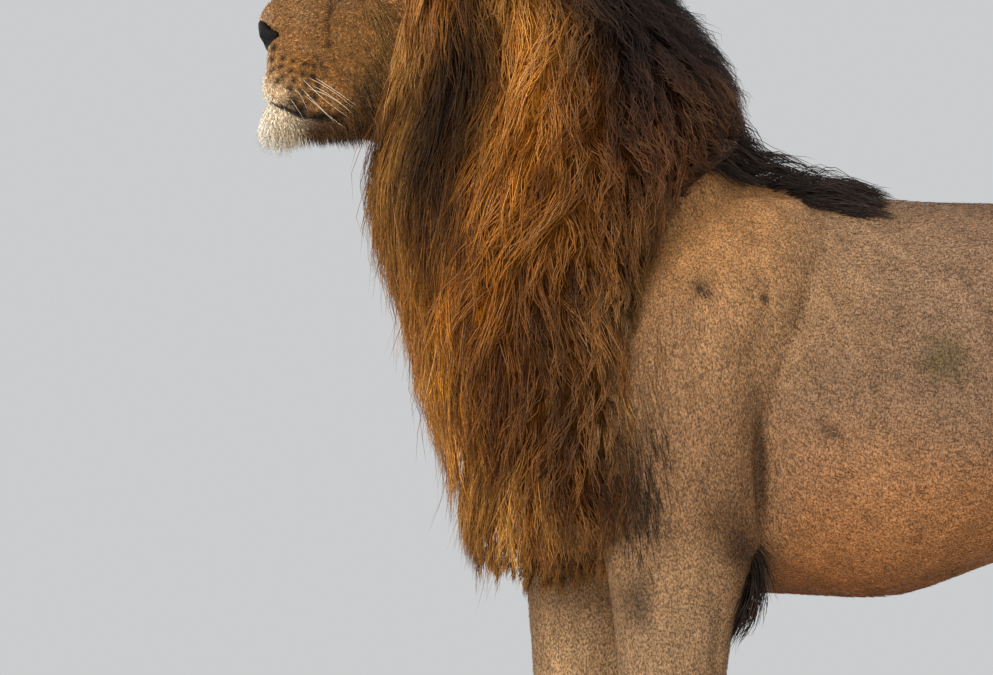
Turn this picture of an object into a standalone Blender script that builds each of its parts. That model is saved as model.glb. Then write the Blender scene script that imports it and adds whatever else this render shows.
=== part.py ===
"""A standing male lion at life size, as a museum model: the outer form of skin and coat, in named solids.

The lion faces -Y, its left side is +X and the floor is z = 0. Lengths are metres. While it is modelled, y is
the distance behind the tip of the nose; at the end everything moves forward so that the origin lies on the
floor below the middle of the body's box.

Each fleshy part is a loft: a few sections (front to back, top to bottom or along a bent path) joined by smooth
curves. Neighbours are trimmed against each other with a thin gap, and long parts are cut across.
"""

import math
from collections import namedtuple

import bmesh
import bpy
import numpy as np
from mathutils import Matrix, Vector

# ---------------------------------------------------------------- driving dimensions
GAP = 0.0005  # free space between neighbouring solids
MANE_GAP = 0.015  # room for the roots of the mane, between its mass and the flesh
FORE_STRIDE = 0.100  # the right forefoot stands this far ahead of the left
HIND_STRIDE = 0.130
EYE_RADIUS = 0.0195
EYE_AT = (0.0531, 0.141, 1.330)
EAR_HALF_SIZES = (0.047, 0.034, 0.056)
EAR_TURN, EAR_LEAN = 28, 24  # degrees: the cup faces this much outwards and leans out this much
EAR_PLACE = (
    Matrix.Translation((0.106, 0.252, 1.402))
    @ Matrix.Rotation(math.radians(EAR_TURN), 4, "Z")
    @ Matrix.Rotation(math.radians(EAR_LEAN), 4, "Y")
)
TOE_SPREAD = 0.041  # the outer toes' distance from the middle of the paw
TOE_HALF_SIZES = (0.0215, 0.046, 0.033)
FORE_TOES = 0.366  # tips of the left forefoot's middle toes, behind the nose
HIND_TOES = 1.358
TUFT_SHIFT = 0.035  # how much further forward the right elbow's tuft hangs than the left's
LEG_TRIANGLES = 380
HEAD_TRIANGLES = 760
TAIL_CUTS = (0.80, 0.56, 0.335)  # heights where the tail's lengths meet

COAT = {
    "tawny": ((0.34, 0.22, 0.12, 1), 0.75),
    "tan": ((0.30, 0.19, 0.11, 1), 0.75),
    "mane_gold": ((0.22, 0.10, 0.03, 1), 0.7),
    "mane_brown": ((0.10, 0.045, 0.018, 1), 0.7),
    "mane_black": ((0.03, 0.018, 0.013, 1), 0.65),
    "nose_leather": ((0.012, 0.010, 0.009, 1), 0.4),
    "eye_amber": ((0.33, 0.17, 0.04, 1), 0.1),
}

# A section across the body: y behind the nose, top and bottom heights, height of the widest line, half width,
# and how square the curve is above and below that line (2 is an ellipse, more is boxier).
Slice = namedtuple("Slice", "y top bottom widest half above below")

# A level section through a leg or the mane: height, front and back, centre line's x, half width, squareness of
# the front and back halves.
Level = namedtuple("Level", "z front back x half ahead behind")

# A round section on a bent path: its centre and its half height and half width.
Round = namedtuple("Round", "x y z tall wide")

TRUNK = [
    Slice(0.335, 0.955, 0.735, 0.84, 0.060, 2.0, 2.0),
    Slice(0.370, 1.010, 0.660, 0.84, 0.110, 2.1, 2.1),
    Slice(0.440, 1.075, 0.605, 0.83, 0.145, 2.1, 2.1),
    Slice(0.540, 1.095, 0.588, 0.81, 0.160, 2.0, 2.2),
    Slice(0.660, 1.075, 0.579, 0.79, 0.176, 2.0, 2.3),
    Slice(0.760, 1.060, 0.578, 0.78, 0.186, 2.1, 2.3),
    Slice(0.880, 1.055, 0.615, 0.79, 0.187, 2.1, 2.2),
    Slice(1.010, 1.055, 0.657, 0.81, 0.176, 2.2, 2.1),
    Slice(1.130, 1.056, 0.685, 0.83, 0.162, 2.3, 2.1),
    Slice(1.250, 1.056, 0.705, 0.85, 0.154, 2.3, 2.0),
    Slice(1.380, 1.030, 0.712, 0.86, 0.145, 2.2, 2.0),
    Slice(1.480, 0.985, 0.725, 0.85, 0.118, 2.0, 2.0),
    Slice(1.540, 0.925, 0.765, 0.84, 0.062, 2.0, 2.0),
]

NECK = [
    Round(0, 0.470, 0.900, 0.205, 0.135),
    Round(0, 0.415, 1.010, 0.190, 0.128),
    Round(0, 0.355, 1.120, 0.160, 0.118),
    Round(0, 0.305, 1.230, 0.140, 0.110),
    Round(0, 0.275, 1.300, 0.110, 0.090),
]

SKULL = [
    Slice(0.010, 1.262, 1.176, 1.215, 0.026, 2.0, 2.2),
    Slice(0.020, 1.288, 1.162, 1.205, 0.043, 1.9, 2.5),
    Slice(0.045, 1.308, 1.148, 1.198, 0.056, 1.8, 2.7),
    Slice(0.075, 1.323, 1.142, 1.200, 0.062, 1.8, 2.6),
    Slice(0.105, 1.340, 1.134, 1.215, 0.070, 1.9, 2.4),
    Slice(0.135, 1.364, 1.126, 1.240, 0.088, 2.1, 2.2),
    Slice(0.170, 1.392, 1.122, 1.265, 0.106, 2.3, 2.0),
    Slice(0.210, 1.416, 1.124, 1.275, 0.118, 2.4, 2.0),
    Slice(0.260, 1.430, 1.140, 1.285, 0.120, 2.3, 2.0),
    Slice(0.310, 1.424, 1.180, 1.300, 0.106, 2.1, 2.0),
    Slice(0.350, 1.390, 1.240, 1.315, 0.076, 2.0, 2.0),
    Slice(0.372, 1.350, 1.285, 1.315, 0.032, 2.0, 2.0),
]

# Lumps that turn the skull's loft into a face: centre and half sizes, mirrored unless they are on the midline.
FACE_LUMPS = {
    "whisker_pad": ((0.034, 0.050, 1.196), (0.036, 0.043, 0.036)),
    "lip_front": ((0.000, 0.031, 1.196), (0.028, 0.026, 0.034)),
    "cheekbone": ((0.078, 0.178, 1.288), (0.038, 0.056, 0.034)),
    "brow": ((0.046, 0.150, 1.352), (0.030, 0.032, 0.020)),
    "jaw_muscle": ((0.076, 0.205, 1.200), (0.040, 0.058, 0.060)),
}

CHIN = [
    Slice(0.008, 1.166, 1.140, 1.154, 0.014, 2.0, 2.0),
    Slice(0.016, 1.172, 1.131, 1.151, 0.029, 2.2, 2.2),
    Slice(0.042, 1.176, 1.128, 1.148, 0.038, 2.2, 2.2),
    Slice(0.075, 1.172, 1.128, 1.148, 0.045, 2.2, 2.2),
    Slice(0.115, 1.170, 1.130, 1.149, 0.056, 2.2, 2.2),
    Slice(0.150, 1.180, 1.134, 1.156, 0.060, 2.2, 2.2),
]
JAW_OUTLINE = [
    (-0.05, 1.178), (0.020, 1.178), (0.036, 1.170), (0.056, 1.158), (0.100, 1.151), (0.122, 1.142),
    (0.132, 1.100), (0.132, 1.050), (-0.05, 1.050),
]  # (y, z): the mouth's line from the front to its corner, then round below the chin

NOSE = [
    Slice(0.000, 1.262, 1.240, 1.252, 0.012, 2.0, 2.0),
    Slice(0.004, 1.270, 1.228, 1.252, 0.026, 2.4, 1.8),
    Slice(0.012, 1.274, 1.224, 1.253, 0.033, 2.6, 1.7),
    Slice(0.024, 1.272, 1.232, 1.253, 0.032, 2.4, 1.8),
    Slice(0.030, 1.266, 1.240, 1.253, 0.022, 2.0, 2.0),
]

FORELEG = [
    Level(1.062, 0.545, 0.650, 0.066, 0.022, 2.0, 2.0),
    Level(1.020, 0.485, 0.685, 0.094, 0.044, 2.0, 2.0),
    Level(0.940, 0.425, 0.668, 0.122, 0.064, 2.1, 2.2),
    Level(0.850, 0.385, 0.632, 0.130, 0.075, 2.2, 2.5),
    Level(0.760, 0.380, 0.606, 0.132, 0.077, 2.2, 2.6),
    Level(0.690, 0.392, 0.598, 0.131, 0.073, 2.2, 2.5),
    Level(0.620, 0.412, 0.592, 0.129, 0.066, 2.2, 2.3),
    Level(0.540, 0.424, 0.570, 0.128, 0.061, 2.2, 2.1),
    Level(0.450, 0.430, 0.558, 0.127, 0.055, 2.2, 2.1),
    Level(0.360, 0.440, 0.546, 0.126, 0.048, 2.2, 2.1),
    Level(0.290, 0.443, 0.542, 0.126, 0.045, 2.3, 2.2),
    Level(0.240, 0.440, 0.546, 0.126, 0.046, 2.3, 2.2),
    Level(0.180, 0.444, 0.534, 0.126, 0.043, 2.3, 2.2),
    Level(0.120, 0.428, 0.530, 0.127, 0.046, 2.2, 2.2),
    Level(0.075, 0.402, 0.532, 0.128, 0.055, 2.2, 2.3),
    Level(0.040, 0.386, 0.534, 0.128, 0.061, 2.3, 2.3),
    Level(0.012, 0.388, 0.532, 0.128, 0.060, 2.3, 2.4),
    Level(-0.010, 0.405, 0.520, 0.128, 0.048, 2.2, 2.4),
]

HIND_LEG = [
    Level(1.000, 1.255, 1.400, 0.072, 0.040, 2.0, 2.0),
    Level(0.940, 1.190, 1.470, 0.096, 0.062, 2.1, 2.1),
    Level(0.860, 1.155, 1.530, 0.108, 0.075, 2.1, 2.1),
    Level(0.770, 1.140, 1.548, 0.112, 0.078, 2.1, 2.2),
    Level(0.690, 1.145, 1.528, 0.113, 0.072, 2.1, 2.2),
    Level(0.610, 1.165, 1.480, 0.115, 0.063, 2.1, 2.2),
    Level(0.530, 1.205, 1.452, 0.116, 0.055, 2.1, 2.2),
    Level(0.450, 1.275, 1.458, 0.117, 0.046, 2.1, 2.1),
    Level(0.385, 1.352, 1.500, 0.117, 0.039, 2.1, 2.0),
    Level(0.330, 1.408, 1.536, 0.118, 0.036, 2.2, 2.0),
    Level(0.280, 1.432, 1.540, 0.118, 0.035, 2.2, 2.0),
    Level(0.200, 1.436, 1.522, 0.118, 0.036, 2.2, 2.0),
    Level(0.130, 1.422, 1.512, 0.118, 0.040, 2.2, 2.1),
    Level(0.075, 1.396, 1.512, 0.118, 0.049, 2.2, 2.3),
    Level(0.040, 1.378, 1.512, 0.118, 0.055, 2.3, 2.3),
    Level(0.012, 1.380, 1.510, 0.118, 0.054, 2.3, 2.4),
    Level(-0.010, 1.394, 1.498, 0.118, 0.044, 2.2, 2.4),
]

# The coat's outline round the neck, chest and shoulders, level by level.
MANE = [
    Level(0.604, 0.302, 0.394, 0, 0.050, 2.0, 2.0),
    Level(0.624, 0.266, 0.440, 0, 0.118, 2.2, 2.4),
    Level(0.668, 0.244, 0.490, 0, 0.188, 2.3, 3.2),
    Level(0.740, 0.227, 0.492, 0, 0.218, 2.3, 4.0),
    Level(0.830, 0.194, 0.466, 0, 0.226, 2.3, 4.0),
    Level(0.910, 0.176, 0.464, 0, 0.230, 2.3, 4.0),
    Level(0.980, 0.150, 0.476, 0, 0.230, 2.3, 3.6),
    Level(1.060, 0.129, 0.516, 0, 0.228, 2.4, 3.0),
    Level(1.140, 0.127, 0.580, 0, 0.220, 2.5, 2.4),
    Level(1.220, 0.148, 0.560, 0, 0.214, 2.6, 2.2),
    Level(1.300, 0.158, 0.498, 0, 0.206, 2.6, 2.1),
    Level(1.370, 0.182, 0.452, 0, 0.184, 2.4, 2.0),
    Level(1.430, 0.215, 0.412, 0, 0.140, 2.2, 2.0),
    Level(1.470, 0.246, 0.378, 0, 0.088, 2.0, 2.0),
    Level(1.490, 0.280, 0.340, 0, 0.030, 2.0, 2.0),
]

# The strip of black mane that runs back over the withers.
WITHERS = [
    Round(0, 0.500, 1.130, 0.036, 0.050),
    Round(0, 0.560, 1.128, 0.052, 0.078),
    Round(0, 0.620, 1.108, 0.050, 0.074),
    Round(0, 0.680, 1.088, 0.040, 0.066),
    Round(0, 0.728, 1.068, 0.026, 0.050),
    Round(0, 0.756, 1.056, 0.014, 0.024),
]

TAIL = [
    Round(0.000, 1.470, 0.955, 0.046, 0.050),
    Round(0.000, 1.530, 0.925, 0.040, 0.042),
    Round(0.002, 1.585, 0.868, 0.032, 0.032),
    Round(0.006, 1.618, 0.780, 0.026, 0.026),
    Round(0.012, 1.628, 0.670, 0.022, 0.022),
    Round(0.020, 1.622, 0.560, 0.019, 0.019),
    Round(0.028, 1.614, 0.450, 0.018, 0.018),
    Round(0.034, 1.618, 0.350, 0.019, 0.019),
    Round(0.036, 1.632, 0.290, 0.032, 0.032),
    Round(0.036, 1.652, 0.225, 0.042, 0.042),
    Round(0.034, 1.676, 0.160, 0.034, 0.034),
    Round(0.031, 1.698, 0.110, 0.016, 0.016),
]

# Black hair that hangs from the point of each elbow.
ELBOW_TUFT = [
    Round(0.128, 0.566, 0.668, 0.010, 0.014),
    Round(0.128, 0.582, 0.642, 0.022, 0.026),
    Round(0.128, 0.586, 0.606, 0.028, 0.028),
    Round(0.128, 0.576, 0.568, 0.026, 0.026),
    Round(0.128, 0.560, 0.538, 0.014, 0.016),
]

# The planes that part the neck from the trunk and from the head: a point and a unit normal.
NECK_BASE = ((0, 0.335, 0.950), (0, -0.530, 0.848))  # points up into the neck
NECK_TOP = ((0, 0.300, 1.200), (0, 0.849, -0.528))  # points back into the neck
FORE_SWING = (0.95, 0.55)  # between these heights a foreleg bends into its stride
HIND_SWING = (0.90, 0.45)

# Where each leg is cut across, from the top down: a point on the plane and its upward normal.
FORE_PARTS = ("upper_arm", "forearm", "forepaw")
FORE_CUTS = [((0, 0.50, 0.645), (0, 0.25, 1)), ((0, 0.49, 0.235), (0, 0, 1))]
HIND_PARTS = ("thigh", "shank", "hock", "hindpaw")
HIND_CUTS = [((0, 1.30, 0.590), (0, -0.45, 1)), ((0, 1.45, 0.345), (0, 0.5, 1)), ((0, 1.47, 0.125), (0, 0, 1))]

# ---------------------------------------------------------------- smooth curves and lofts


def smooth_stations(stations, count):
    """Resamples a table of sections evenly along its length, each column a cubic through its values."""
    table = np.array(stations, float)
    steps = np.diff(table, axis=0)
    along = np.concatenate([[0], np.cumsum(np.linalg.norm(steps[:, :3], axis=1))])
    slope = np.gradient(table, along, axis=0)
    at = np.linspace(0, along[-1], count)
    i = np.clip(np.searchsorted(along, at, side="right") - 1, 0, len(along) - 2)
    width = (along[i + 1] - along[i])[:, None]
    t = ((at - along[i]) / width[:, 0])[:, None]
    start = (2 * t**3 - 3 * t**2 + 1) * table[i] + (t**3 - 2 * t**2 + t) * width * slope[i]
    end = (3 * t**2 - 2 * t**3) * table[i + 1] + (t**3 - t**2) * width * slope[i + 1]
    return start + end


def unit_curve(sides, high, low):
    """A closed curve of half size 1: a superellipse whose upper and lower halves differ in squareness."""
    angle = 2 * np.pi * (np.arange(sides) + 0.5) / sides
    power = 2 / np.where(np.sin(angle) >= 0, high, low)
    across = np.sign(np.cos(angle)) * np.abs(np.cos(angle)) ** power
    return across, np.sign(np.sin(angle)) * np.abs(np.sin(angle)) ** power


def slice_ring(row, sides):
    y, top, bottom, widest, half, above, below = row
    across, up = unit_curve(sides, above, below)
    height = np.where(up > 0, top - widest, widest - bottom)
    return np.stack([across * half, np.full(sides, y), widest + up * height], axis=1)


def level_ring(row, sides):
    z, front, back, x, half, ahead, behind = row
    across, along = unit_curve(sides, behind, ahead)
    middle, reach = (front + back) / 2, (back - front) / 2
    return np.stack([x + across * half, middle + along * reach, np.full(sides, z)], axis=1)


def path_rings(rows, sides):
    """Rings square to a bent path. Each ring's second axis lies in the lion's mid-plane."""
    centres = rows[:, :3]
    ahead = np.gradient(centres, axis=0)
    ahead /= np.linalg.norm(ahead, axis=1, keepdims=True)
    side = np.tile([1.0, 0.0, 0.0], (len(rows), 1))
    side -= (side * ahead).sum(axis=1, keepdims=True) * ahead
    side /= np.linalg.norm(side, axis=1, keepdims=True)
    up = np.cross(ahead, side)
    across, along = unit_curve(sides, 2, 2)
    wide = rows[:, 4, None, None] * across[None, :, None] * side[:, None]
    return centres[:, None] + wide + rows[:, 3, None, None] * along[None, :, None] * up[:, None]


def mesh_of_rings(name, rings):
    """A closed mesh of triangles between neighbouring rings, with a fan to a point at each end."""
    count, sides = rings.shape[:2]
    points = [*rings.reshape(-1, 3), rings[0].mean(axis=0), rings[-1].mean(axis=0)]
    first_pole, last_pole = count * sides, count * sides + 1
    faces = []
    for s in range(sides):
        n = (s + 1) % sides
        for r in range(0, (count - 1) * sides, sides):
            faces.append((r + s, r + n, r + sides + n, r + sides + s))
        faces.append((first_pole, n, s))
        faces.append((last_pole, first_pole - sides + s, first_pole - sides + n))
    mesh = bpy.data.meshes.new(name)
    mesh.from_pydata([tuple(p) for p in points], [], faces)
    body = bmesh.new()
    body.from_mesh(mesh)
    bmesh.ops.recalc_face_normals(body, faces=body.faces)
    bmesh.ops.triangulate(body, faces=body.faces)
    body.to_mesh(mesh)
    body.free()
    return mesh


def loft(name, stations, sides, count, bend=None):
    """An object lofted through sections of one kind. bend, if given, moves the finished points."""
    rows = smooth_stations(stations, count)
    if isinstance(stations[0], Round):
        rings = path_rings(rows, sides)
    else:
        ring_of = slice_ring if isinstance(stations[0], Slice) else level_ring
        rings = np.array([ring_of(row, sides) for row in rows])
    if bend:
        rings = bend(rings)
    return add_object(name, mesh_of_rings(name, rings))


def add_object(name, mesh):
    made = bpy.data.objects.new(name, mesh)
    lion.objects.link(made)
    return made


def ellipsoid(name, centre, half_sizes, segments=16, rings=8):
    mesh = bpy.data.meshes.new(name)
    body = bmesh.new()
    place = Matrix.Translation(centre) @ Matrix.Diagonal((*half_sizes, 1))
    bmesh.ops.create_uvsphere(body, u_segments=segments, v_segments=rings, radius=1, matrix=place)
    bmesh.ops.triangulate(body, faces=body.faces)
    body.to_mesh(mesh)
    body.free()
    return add_object(name, mesh)


def mirrored(source, name):
    """A copy on the right side of the midline, with its faces turned to point outwards again."""
    mesh = source.data.copy()
    mesh.transform(Matrix.Scale(-1, 4, (1, 0, 0)))
    mesh.flip_normals()
    return add_object(name, mesh)


# ---------------------------------------------------------------- joining, trimming and cutting


def bake_modifiers(obj):
    """Replaces an object's mesh with what its modifiers make of it."""
    graph = bpy.context.evaluated_depsgraph_get()
    mesh = bpy.data.meshes.new_from_object(obj.evaluated_get(graph))
    obj.modifiers.clear()
    obj.data = mesh


def boolean(obj, other, operation):
    step = obj.modifiers.new(operation.title(), "BOOLEAN")
    step.solver = "EXACT"
    step.operation = operation
    step.object = other
    bake_modifiers(obj)


def islands_of(body):
    """The separate bodies of a bmesh, smallest first."""
    islands, seen = [], set()
    for start in body.verts:
        if start in seen:
            continue
        island, todo = [], [start]
        seen.add(start)
        while todo:
            vertex = todo.pop()
            island.append(vertex)
            for edge in vertex.link_edges:
                other = edge.other_vert(vertex)
                if other not in seen:
                    seen.add(other)
                    todo.append(other)
        islands.append(island)
    return sorted(islands, key=len)


def clean(obj):
    """Drops the crumbs and merges the very short edges that a Boolean leaves where surfaces graze."""
    body = bmesh.new()
    body.from_mesh(obj.data)
    bmesh.ops.remove_doubles(body, verts=body.verts, dist=1e-5)
    crumbs = islands_of(body)[:-1]
    bmesh.ops.delete(body, geom=[vertex for island in crumbs for vertex in island], context="VERTS")
    bmesh.ops.triangulate(body, faces=body.faces)
    body.to_mesh(obj.data)
    body.free()


def helper(name, mesh):
    """An object that only cuts others."""
    cutter = bpy.data.objects.new(name, mesh)
    cutter.hide_render = True
    cutter.display_type = "WIRE"
    cutters.objects.link(cutter)
    return cutter


def grown(obj, distance=GAP):
    """A cutter in the shape of obj, with every point moved outwards by the distance."""
    body = bmesh.new()
    body.from_mesh(obj.data)
    body.normal_update()
    moved = [(vertex, vertex.co + vertex.normal * distance) for vertex in body.verts]
    for vertex, place in moved:
        vertex.co = place
    mesh = bpy.data.meshes.new("cutter")
    body.to_mesh(mesh)
    body.free()
    return helper("cutter_" + obj.name, mesh)


def trim(obj, *wider):
    """Cuts obj back from its neighbours, given as cutters that are already wider by the gap."""
    for cutter in wider:
        boolean(obj, cutter, "DIFFERENCE")
        clean(obj)


def union(name, objects):
    """One solid from overlapping ones."""
    first, *rest = objects
    for other in rest:
        boolean(first, other, "UNION")
        bpy.data.objects.remove(other)
    first.name = name
    return first


def block_beyond(point, normal):
    """A cutter: a big cube with one face on the plane, filling the side that the normal points to."""
    normal = Vector(normal).normalized()
    mesh = bpy.data.meshes.new("block")
    body = bmesh.new()
    turn = normal.to_track_quat("Z", "Y").to_matrix().to_4x4()
    bmesh.ops.create_cube(body, size=6, matrix=Matrix.Translation(Vector(point) + normal * 3) @ turn)
    body.to_mesh(mesh)
    body.free()
    return helper("block", mesh)


def cut_away(obj, point, normal):
    """Removes what lies beyond a plane."""
    block = block_beyond(point, normal)
    boolean(obj, block, "DIFFERENCE")
    bpy.data.objects.remove(block)
    clean(obj)


def flip(plane):
    """The same plane seen from its other side."""
    point, normal = plane
    return point, tuple(-value for value in normal)


def split(obj, names, point, normal):
    """Parts obj with a thin plane cut. The first piece is behind the normal, the second ahead of it."""
    normal = Vector(normal).normalized()
    ahead = add_object(names[1], obj.data.copy())
    obj.name = names[0]
    cut_away(obj, Vector(point) - normal * GAP / 2, normal)
    cut_away(ahead, Vector(point) + normal * GAP / 2, -normal)
    return obj, ahead


def prism(outline, half_width):
    """A cutter: a polygon in the (y, z) plane, drawn out across the body."""
    mesh = bpy.data.meshes.new("prism")
    body = bmesh.new()
    face = body.faces.new([body.verts.new((-half_width, y, z)) for y, z in outline])
    sweep = bmesh.ops.extrude_face_region(body, geom=[face])
    moved = [part for part in sweep["geom"] if isinstance(part, bmesh.types.BMVert)]
    bmesh.ops.translate(body, vec=(2 * half_width, 0, 0), verts=moved)
    bmesh.ops.recalc_face_normals(body, faces=body.faces)
    body.to_mesh(mesh)
    body.free()
    return helper("prism", mesh)


def thin(obj, triangles):
    """Simplifies a mesh to a number of triangles."""
    obj.data.calc_loop_triangles()
    collapse = obj.modifiers.new("Thin", "DECIMATE")
    collapse.ratio = triangles / len(obj.data.loop_triangles)
    bake_modifiers(obj)


def fuse_and_thin(obj, voxel, rounds, triangles):
    """Fuses overlapping shells into one smooth skin, then simplifies it."""
    fuse = obj.modifiers.new("Fuse", "REMESH")
    fuse.mode = "VOXEL"
    fuse.voxel_size = voxel
    soften = obj.modifiers.new("Soften", "SMOOTH")
    soften.iterations = rounds
    bake_modifiers(obj)
    thin(obj, triangles)


def join(name, objects):
    """Puts several meshes in one object without changing them."""
    body = bmesh.new()
    for obj in objects:
        body.from_mesh(obj.data)
        bpy.data.objects.remove(obj)
    mesh = bpy.data.meshes.new(name)
    body.to_mesh(mesh)
    body.free()
    return add_object(name, mesh)


# ---------------------------------------------------------------- the head


def make_head():
    """Skull, muzzle, brows and cheeks fused into one form."""
    shells = [loft("skull", SKULL, 32, 24), loft("chin", CHIN, 20, 10)]
    for name, (centre, half_sizes) in FACE_LUMPS.items():
        shells.append(ellipsoid(name, centre, half_sizes))
        if centre[0]:
            shells.append(mirrored(shells[-1], name + "_right"))
    head = join("head", shells)
    fuse_and_thin(head, voxel=0.005, rounds=3, triangles=HEAD_TRIANGLES)
    return head


def part_jaw(head):
    """The lower jaw is what lies below the line of the mouth."""
    mouth = prism(JAW_OUTLINE, 0.2)
    wider = grown(mouth)
    jaw = add_object("jaw", head.data.copy())
    boolean(jaw, mouth, "INTERSECT")
    clean(jaw)
    boolean(head, wider, "DIFFERENCE")
    clean(head)
    bpy.data.objects.remove(mouth)
    bpy.data.objects.remove(wider)
    return jaw


def ear_egg(name, extra=0):
    """The ear's outer shape, leaning out and turned a little outwards at its place on the head."""
    sizes = [size + extra for size in EAR_HALF_SIZES]
    egg = ellipsoid(name, (0, 0, 0), sizes, segments=10, rings=7)
    egg.data.transform(EAR_PLACE)
    return egg


def make_ear():
    """The left ear: a thick round cup, open to the front and a little outwards."""
    ear = ear_egg("ear_left")
    hollow = ellipsoid("hollow", (0, -0.020, 0.002), (0.038, 0.036, 0.046), segments=10, rings=7)
    hollow.data.transform(EAR_PLACE)
    boolean(ear, hollow, "DIFFERENCE")
    bpy.data.objects.remove(hollow)
    clean(ear)
    return ear


# ---------------------------------------------------------------- legs


def stride_bend(stride, top, bottom):
    """Slides a leg forward, from nothing at its top to the whole stride at the bottom height and below."""

    def bend(rings):
        t = np.clip((top - rings[..., 2]) / (top - bottom), 0, 1)
        moved = rings.copy()
        moved[..., 1] -= stride * t * t * (3 - 2 * t)
        return moved

    return bend


def make_leg(name, levels, stride, swing, toe_front):
    """A whole leg with four toes, the middle two ahead of the outer ones, flattened on the floor."""
    parts = [loft(name, levels, 14, 20, stride_bend(stride, *swing))]
    x = levels[-2].x
    for across in (-1, -0.34, 0.34, 1):
        y = toe_front + TOE_HALF_SIZES[1] + 0.014 * across**2 - stride
        centre = (x + TOE_SPREAD * across, y, 0.024)
        parts.append(ellipsoid(f"{name}_toe", centre, TOE_HALF_SIZES, 8, 5))
    leg = union(name, parts)
    clean(leg)
    thin(leg, LEG_TRIANGLES)
    cut_away(leg, (0, 0, 0), (0, 0, -1))
    return leg


def cross_to_right(leg, name):
    """Moves a leg that was modelled on the left over to the right."""
    mesh = leg.data
    mesh.transform(Matrix.Scale(-1, 4, (1, 0, 0)))
    mesh.flip_normals()
    leg.name = name
    return leg


def part_leg(leg, names, cuts):
    """Cuts a leg across at its joints, from the top down, into named lengths."""
    pieces = []
    for name, (point, normal) in zip(names, cuts):
        leg, upper = split(leg, (leg.name, name), point, normal)
        pieces.append(upper)
    leg.name = names[-1]
    return [*pieces, leg]


# ---------------------------------------------------------------- finish


def paint(material_name, *objects):
    """Gives objects one plain coat material."""
    material = bpy.data.materials.get(material_name) or bpy.data.materials.new(material_name)
    material.use_nodes = True
    colour, roughness = COAT[material_name]
    surface = material.node_tree.nodes["Principled BSDF"]
    surface.inputs["Base Color"].default_value = colour
    surface.inputs["Roughness"].default_value = roughness
    surface.inputs["Metallic"].default_value = 0
    material.diffuse_color = colour
    for obj in objects:
        obj.data.materials.clear()
        obj.data.materials.append(material)
        obj.data.polygons.foreach_set("material_index", [0] * len(obj.data.polygons))


def centre_on_origin():
    """Moves the whole lion so that the origin is on the floor under the middle of its box."""
    corners = [vertex.co for obj in lion.objects for vertex in obj.data.vertices]
    middle = [(min(c[i] for c in corners) + max(c[i] for c in corners)) / 2 for i in range(2)]
    for obj in lion.objects:
        obj.data.transform(Matrix.Translation((-middle[0], -middle[1], 0)))
    print("moved by", [-round(value, 5) for value in middle])


def make_tufts():
    """The hanks of black hair at both elbows. The right one goes forward with its foreleg."""
    left = loft("elbow_tuft_left", ELBOW_TUFT, 8, 6)
    right = mirrored(left, "elbow_tuft_right")
    right.data.transform(Matrix.Translation((0, -TUFT_SHIFT, 0)))
    return [left, right]


def model_whole():
    """Every part at its full size, still running into its neighbours."""
    fore = [make_leg("foreleg", FORELEG, stride, FORE_SWING, FORE_TOES) for stride in (0, FORE_STRIDE)]
    hind = [make_leg("hind_leg", HIND_LEG, stride, HIND_SWING, HIND_TOES) for stride in (0, HIND_STRIDE)]
    cross_to_right(fore[1], "foreleg_right")
    cross_to_right(hind[1], "hind_leg_right")
    eye, ear = ellipsoid("eye_left", EYE_AT, (EYE_RADIUS,) * 3, 10, 6), make_ear()
    return {
        "legs": [*fore, *hind],
        "trunk": [loft("trunk", TRUNK, 18, 14)],
        "head": [make_head()],
        "neck": [loft("neck", NECK, 16, 6)],
        "nose": [loft("nose", NOSE, 10, 6)],
        "eyes": [eye, mirrored(eye, "eye_right")],
        "ears": [ear, mirrored(ear, "ear_right")],
        "mane": [loft("mane", MANE, 24, 14)],
        "withers": [loft("mane_withers", WITHERS, 10, 7)],
        "tail": [loft("tail", TAIL, 8, 18)],
        "tufts": make_tufts(),
    }


# Which parts give way to which.
TRIMMED_BY = {
    "trunk": ("legs",),
    "neck": ("legs",),
    "head": ("nose", "eyes"),
    "ears": ("head",),
    "mane": ("hollow",),
    "withers": ("trunk", "legs", "neck", "mane"),
    "tail": ("trunk", "legs"),
    "tufts": ("trunk", "legs"),
}


def part_trunk(trunk):
    chest, rear = split(trunk, ("trunk_chest", "trunk_rear"), (0, 0.80, 0.8), (0, 1, 0))
    belly, hips = split(rear, ("trunk_belly", "trunk_hips"), (0, 1.13, 0.8), (0, 1, 0))
    return [chest, belly, hips]


def part_mane(mane):
    """The crest above the ears, then the collar and the chest's hair, each parted at the midline."""
    crest, collar = split(mane, ("mane_crest", "mane_collar"), (0, 0.2, 1.352), (0, -0.2, -1))
    collar, bib = split(collar, ("mane_collar", "mane_bib"), (0, 0, 0.96), (0, 0, -1))
    sides = split(collar, ("mane_right", "mane_left"), (0, 0, 0), (1, 0, 0))
    bibs = split(bib, ("mane_chest_right", "mane_chest_left"), (0, 0, 0), (1, 0, 0))
    return crest, sides, bibs


def part_limbs(legs, tail):
    lengths = [((0, 1.6, z), (0, 0, 1)) for z in TAIL_CUTS]
    tail_parts = part_leg(tail, ("tail_root", "tail_middle", "tail_end", "tail_tuft"), lengths)
    pieces = []
    plans = ((FORE_PARTS, FORE_CUTS, FORE_STRIDE), (HIND_PARTS, HIND_CUTS, HIND_STRIDE))
    for i, leg in enumerate(legs):
        names, cuts, stride = plans[i // 2]
        side, slide = ("left", 0) if i % 2 == 0 else ("right", -stride)
        moved = [(Vector(point) + Vector((0, slide, 0)), normal) for point, normal in cuts]
        pieces += part_leg(leg, [f"{name}_{side}" for name in names], moved)
    return pieces, tail_parts


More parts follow.
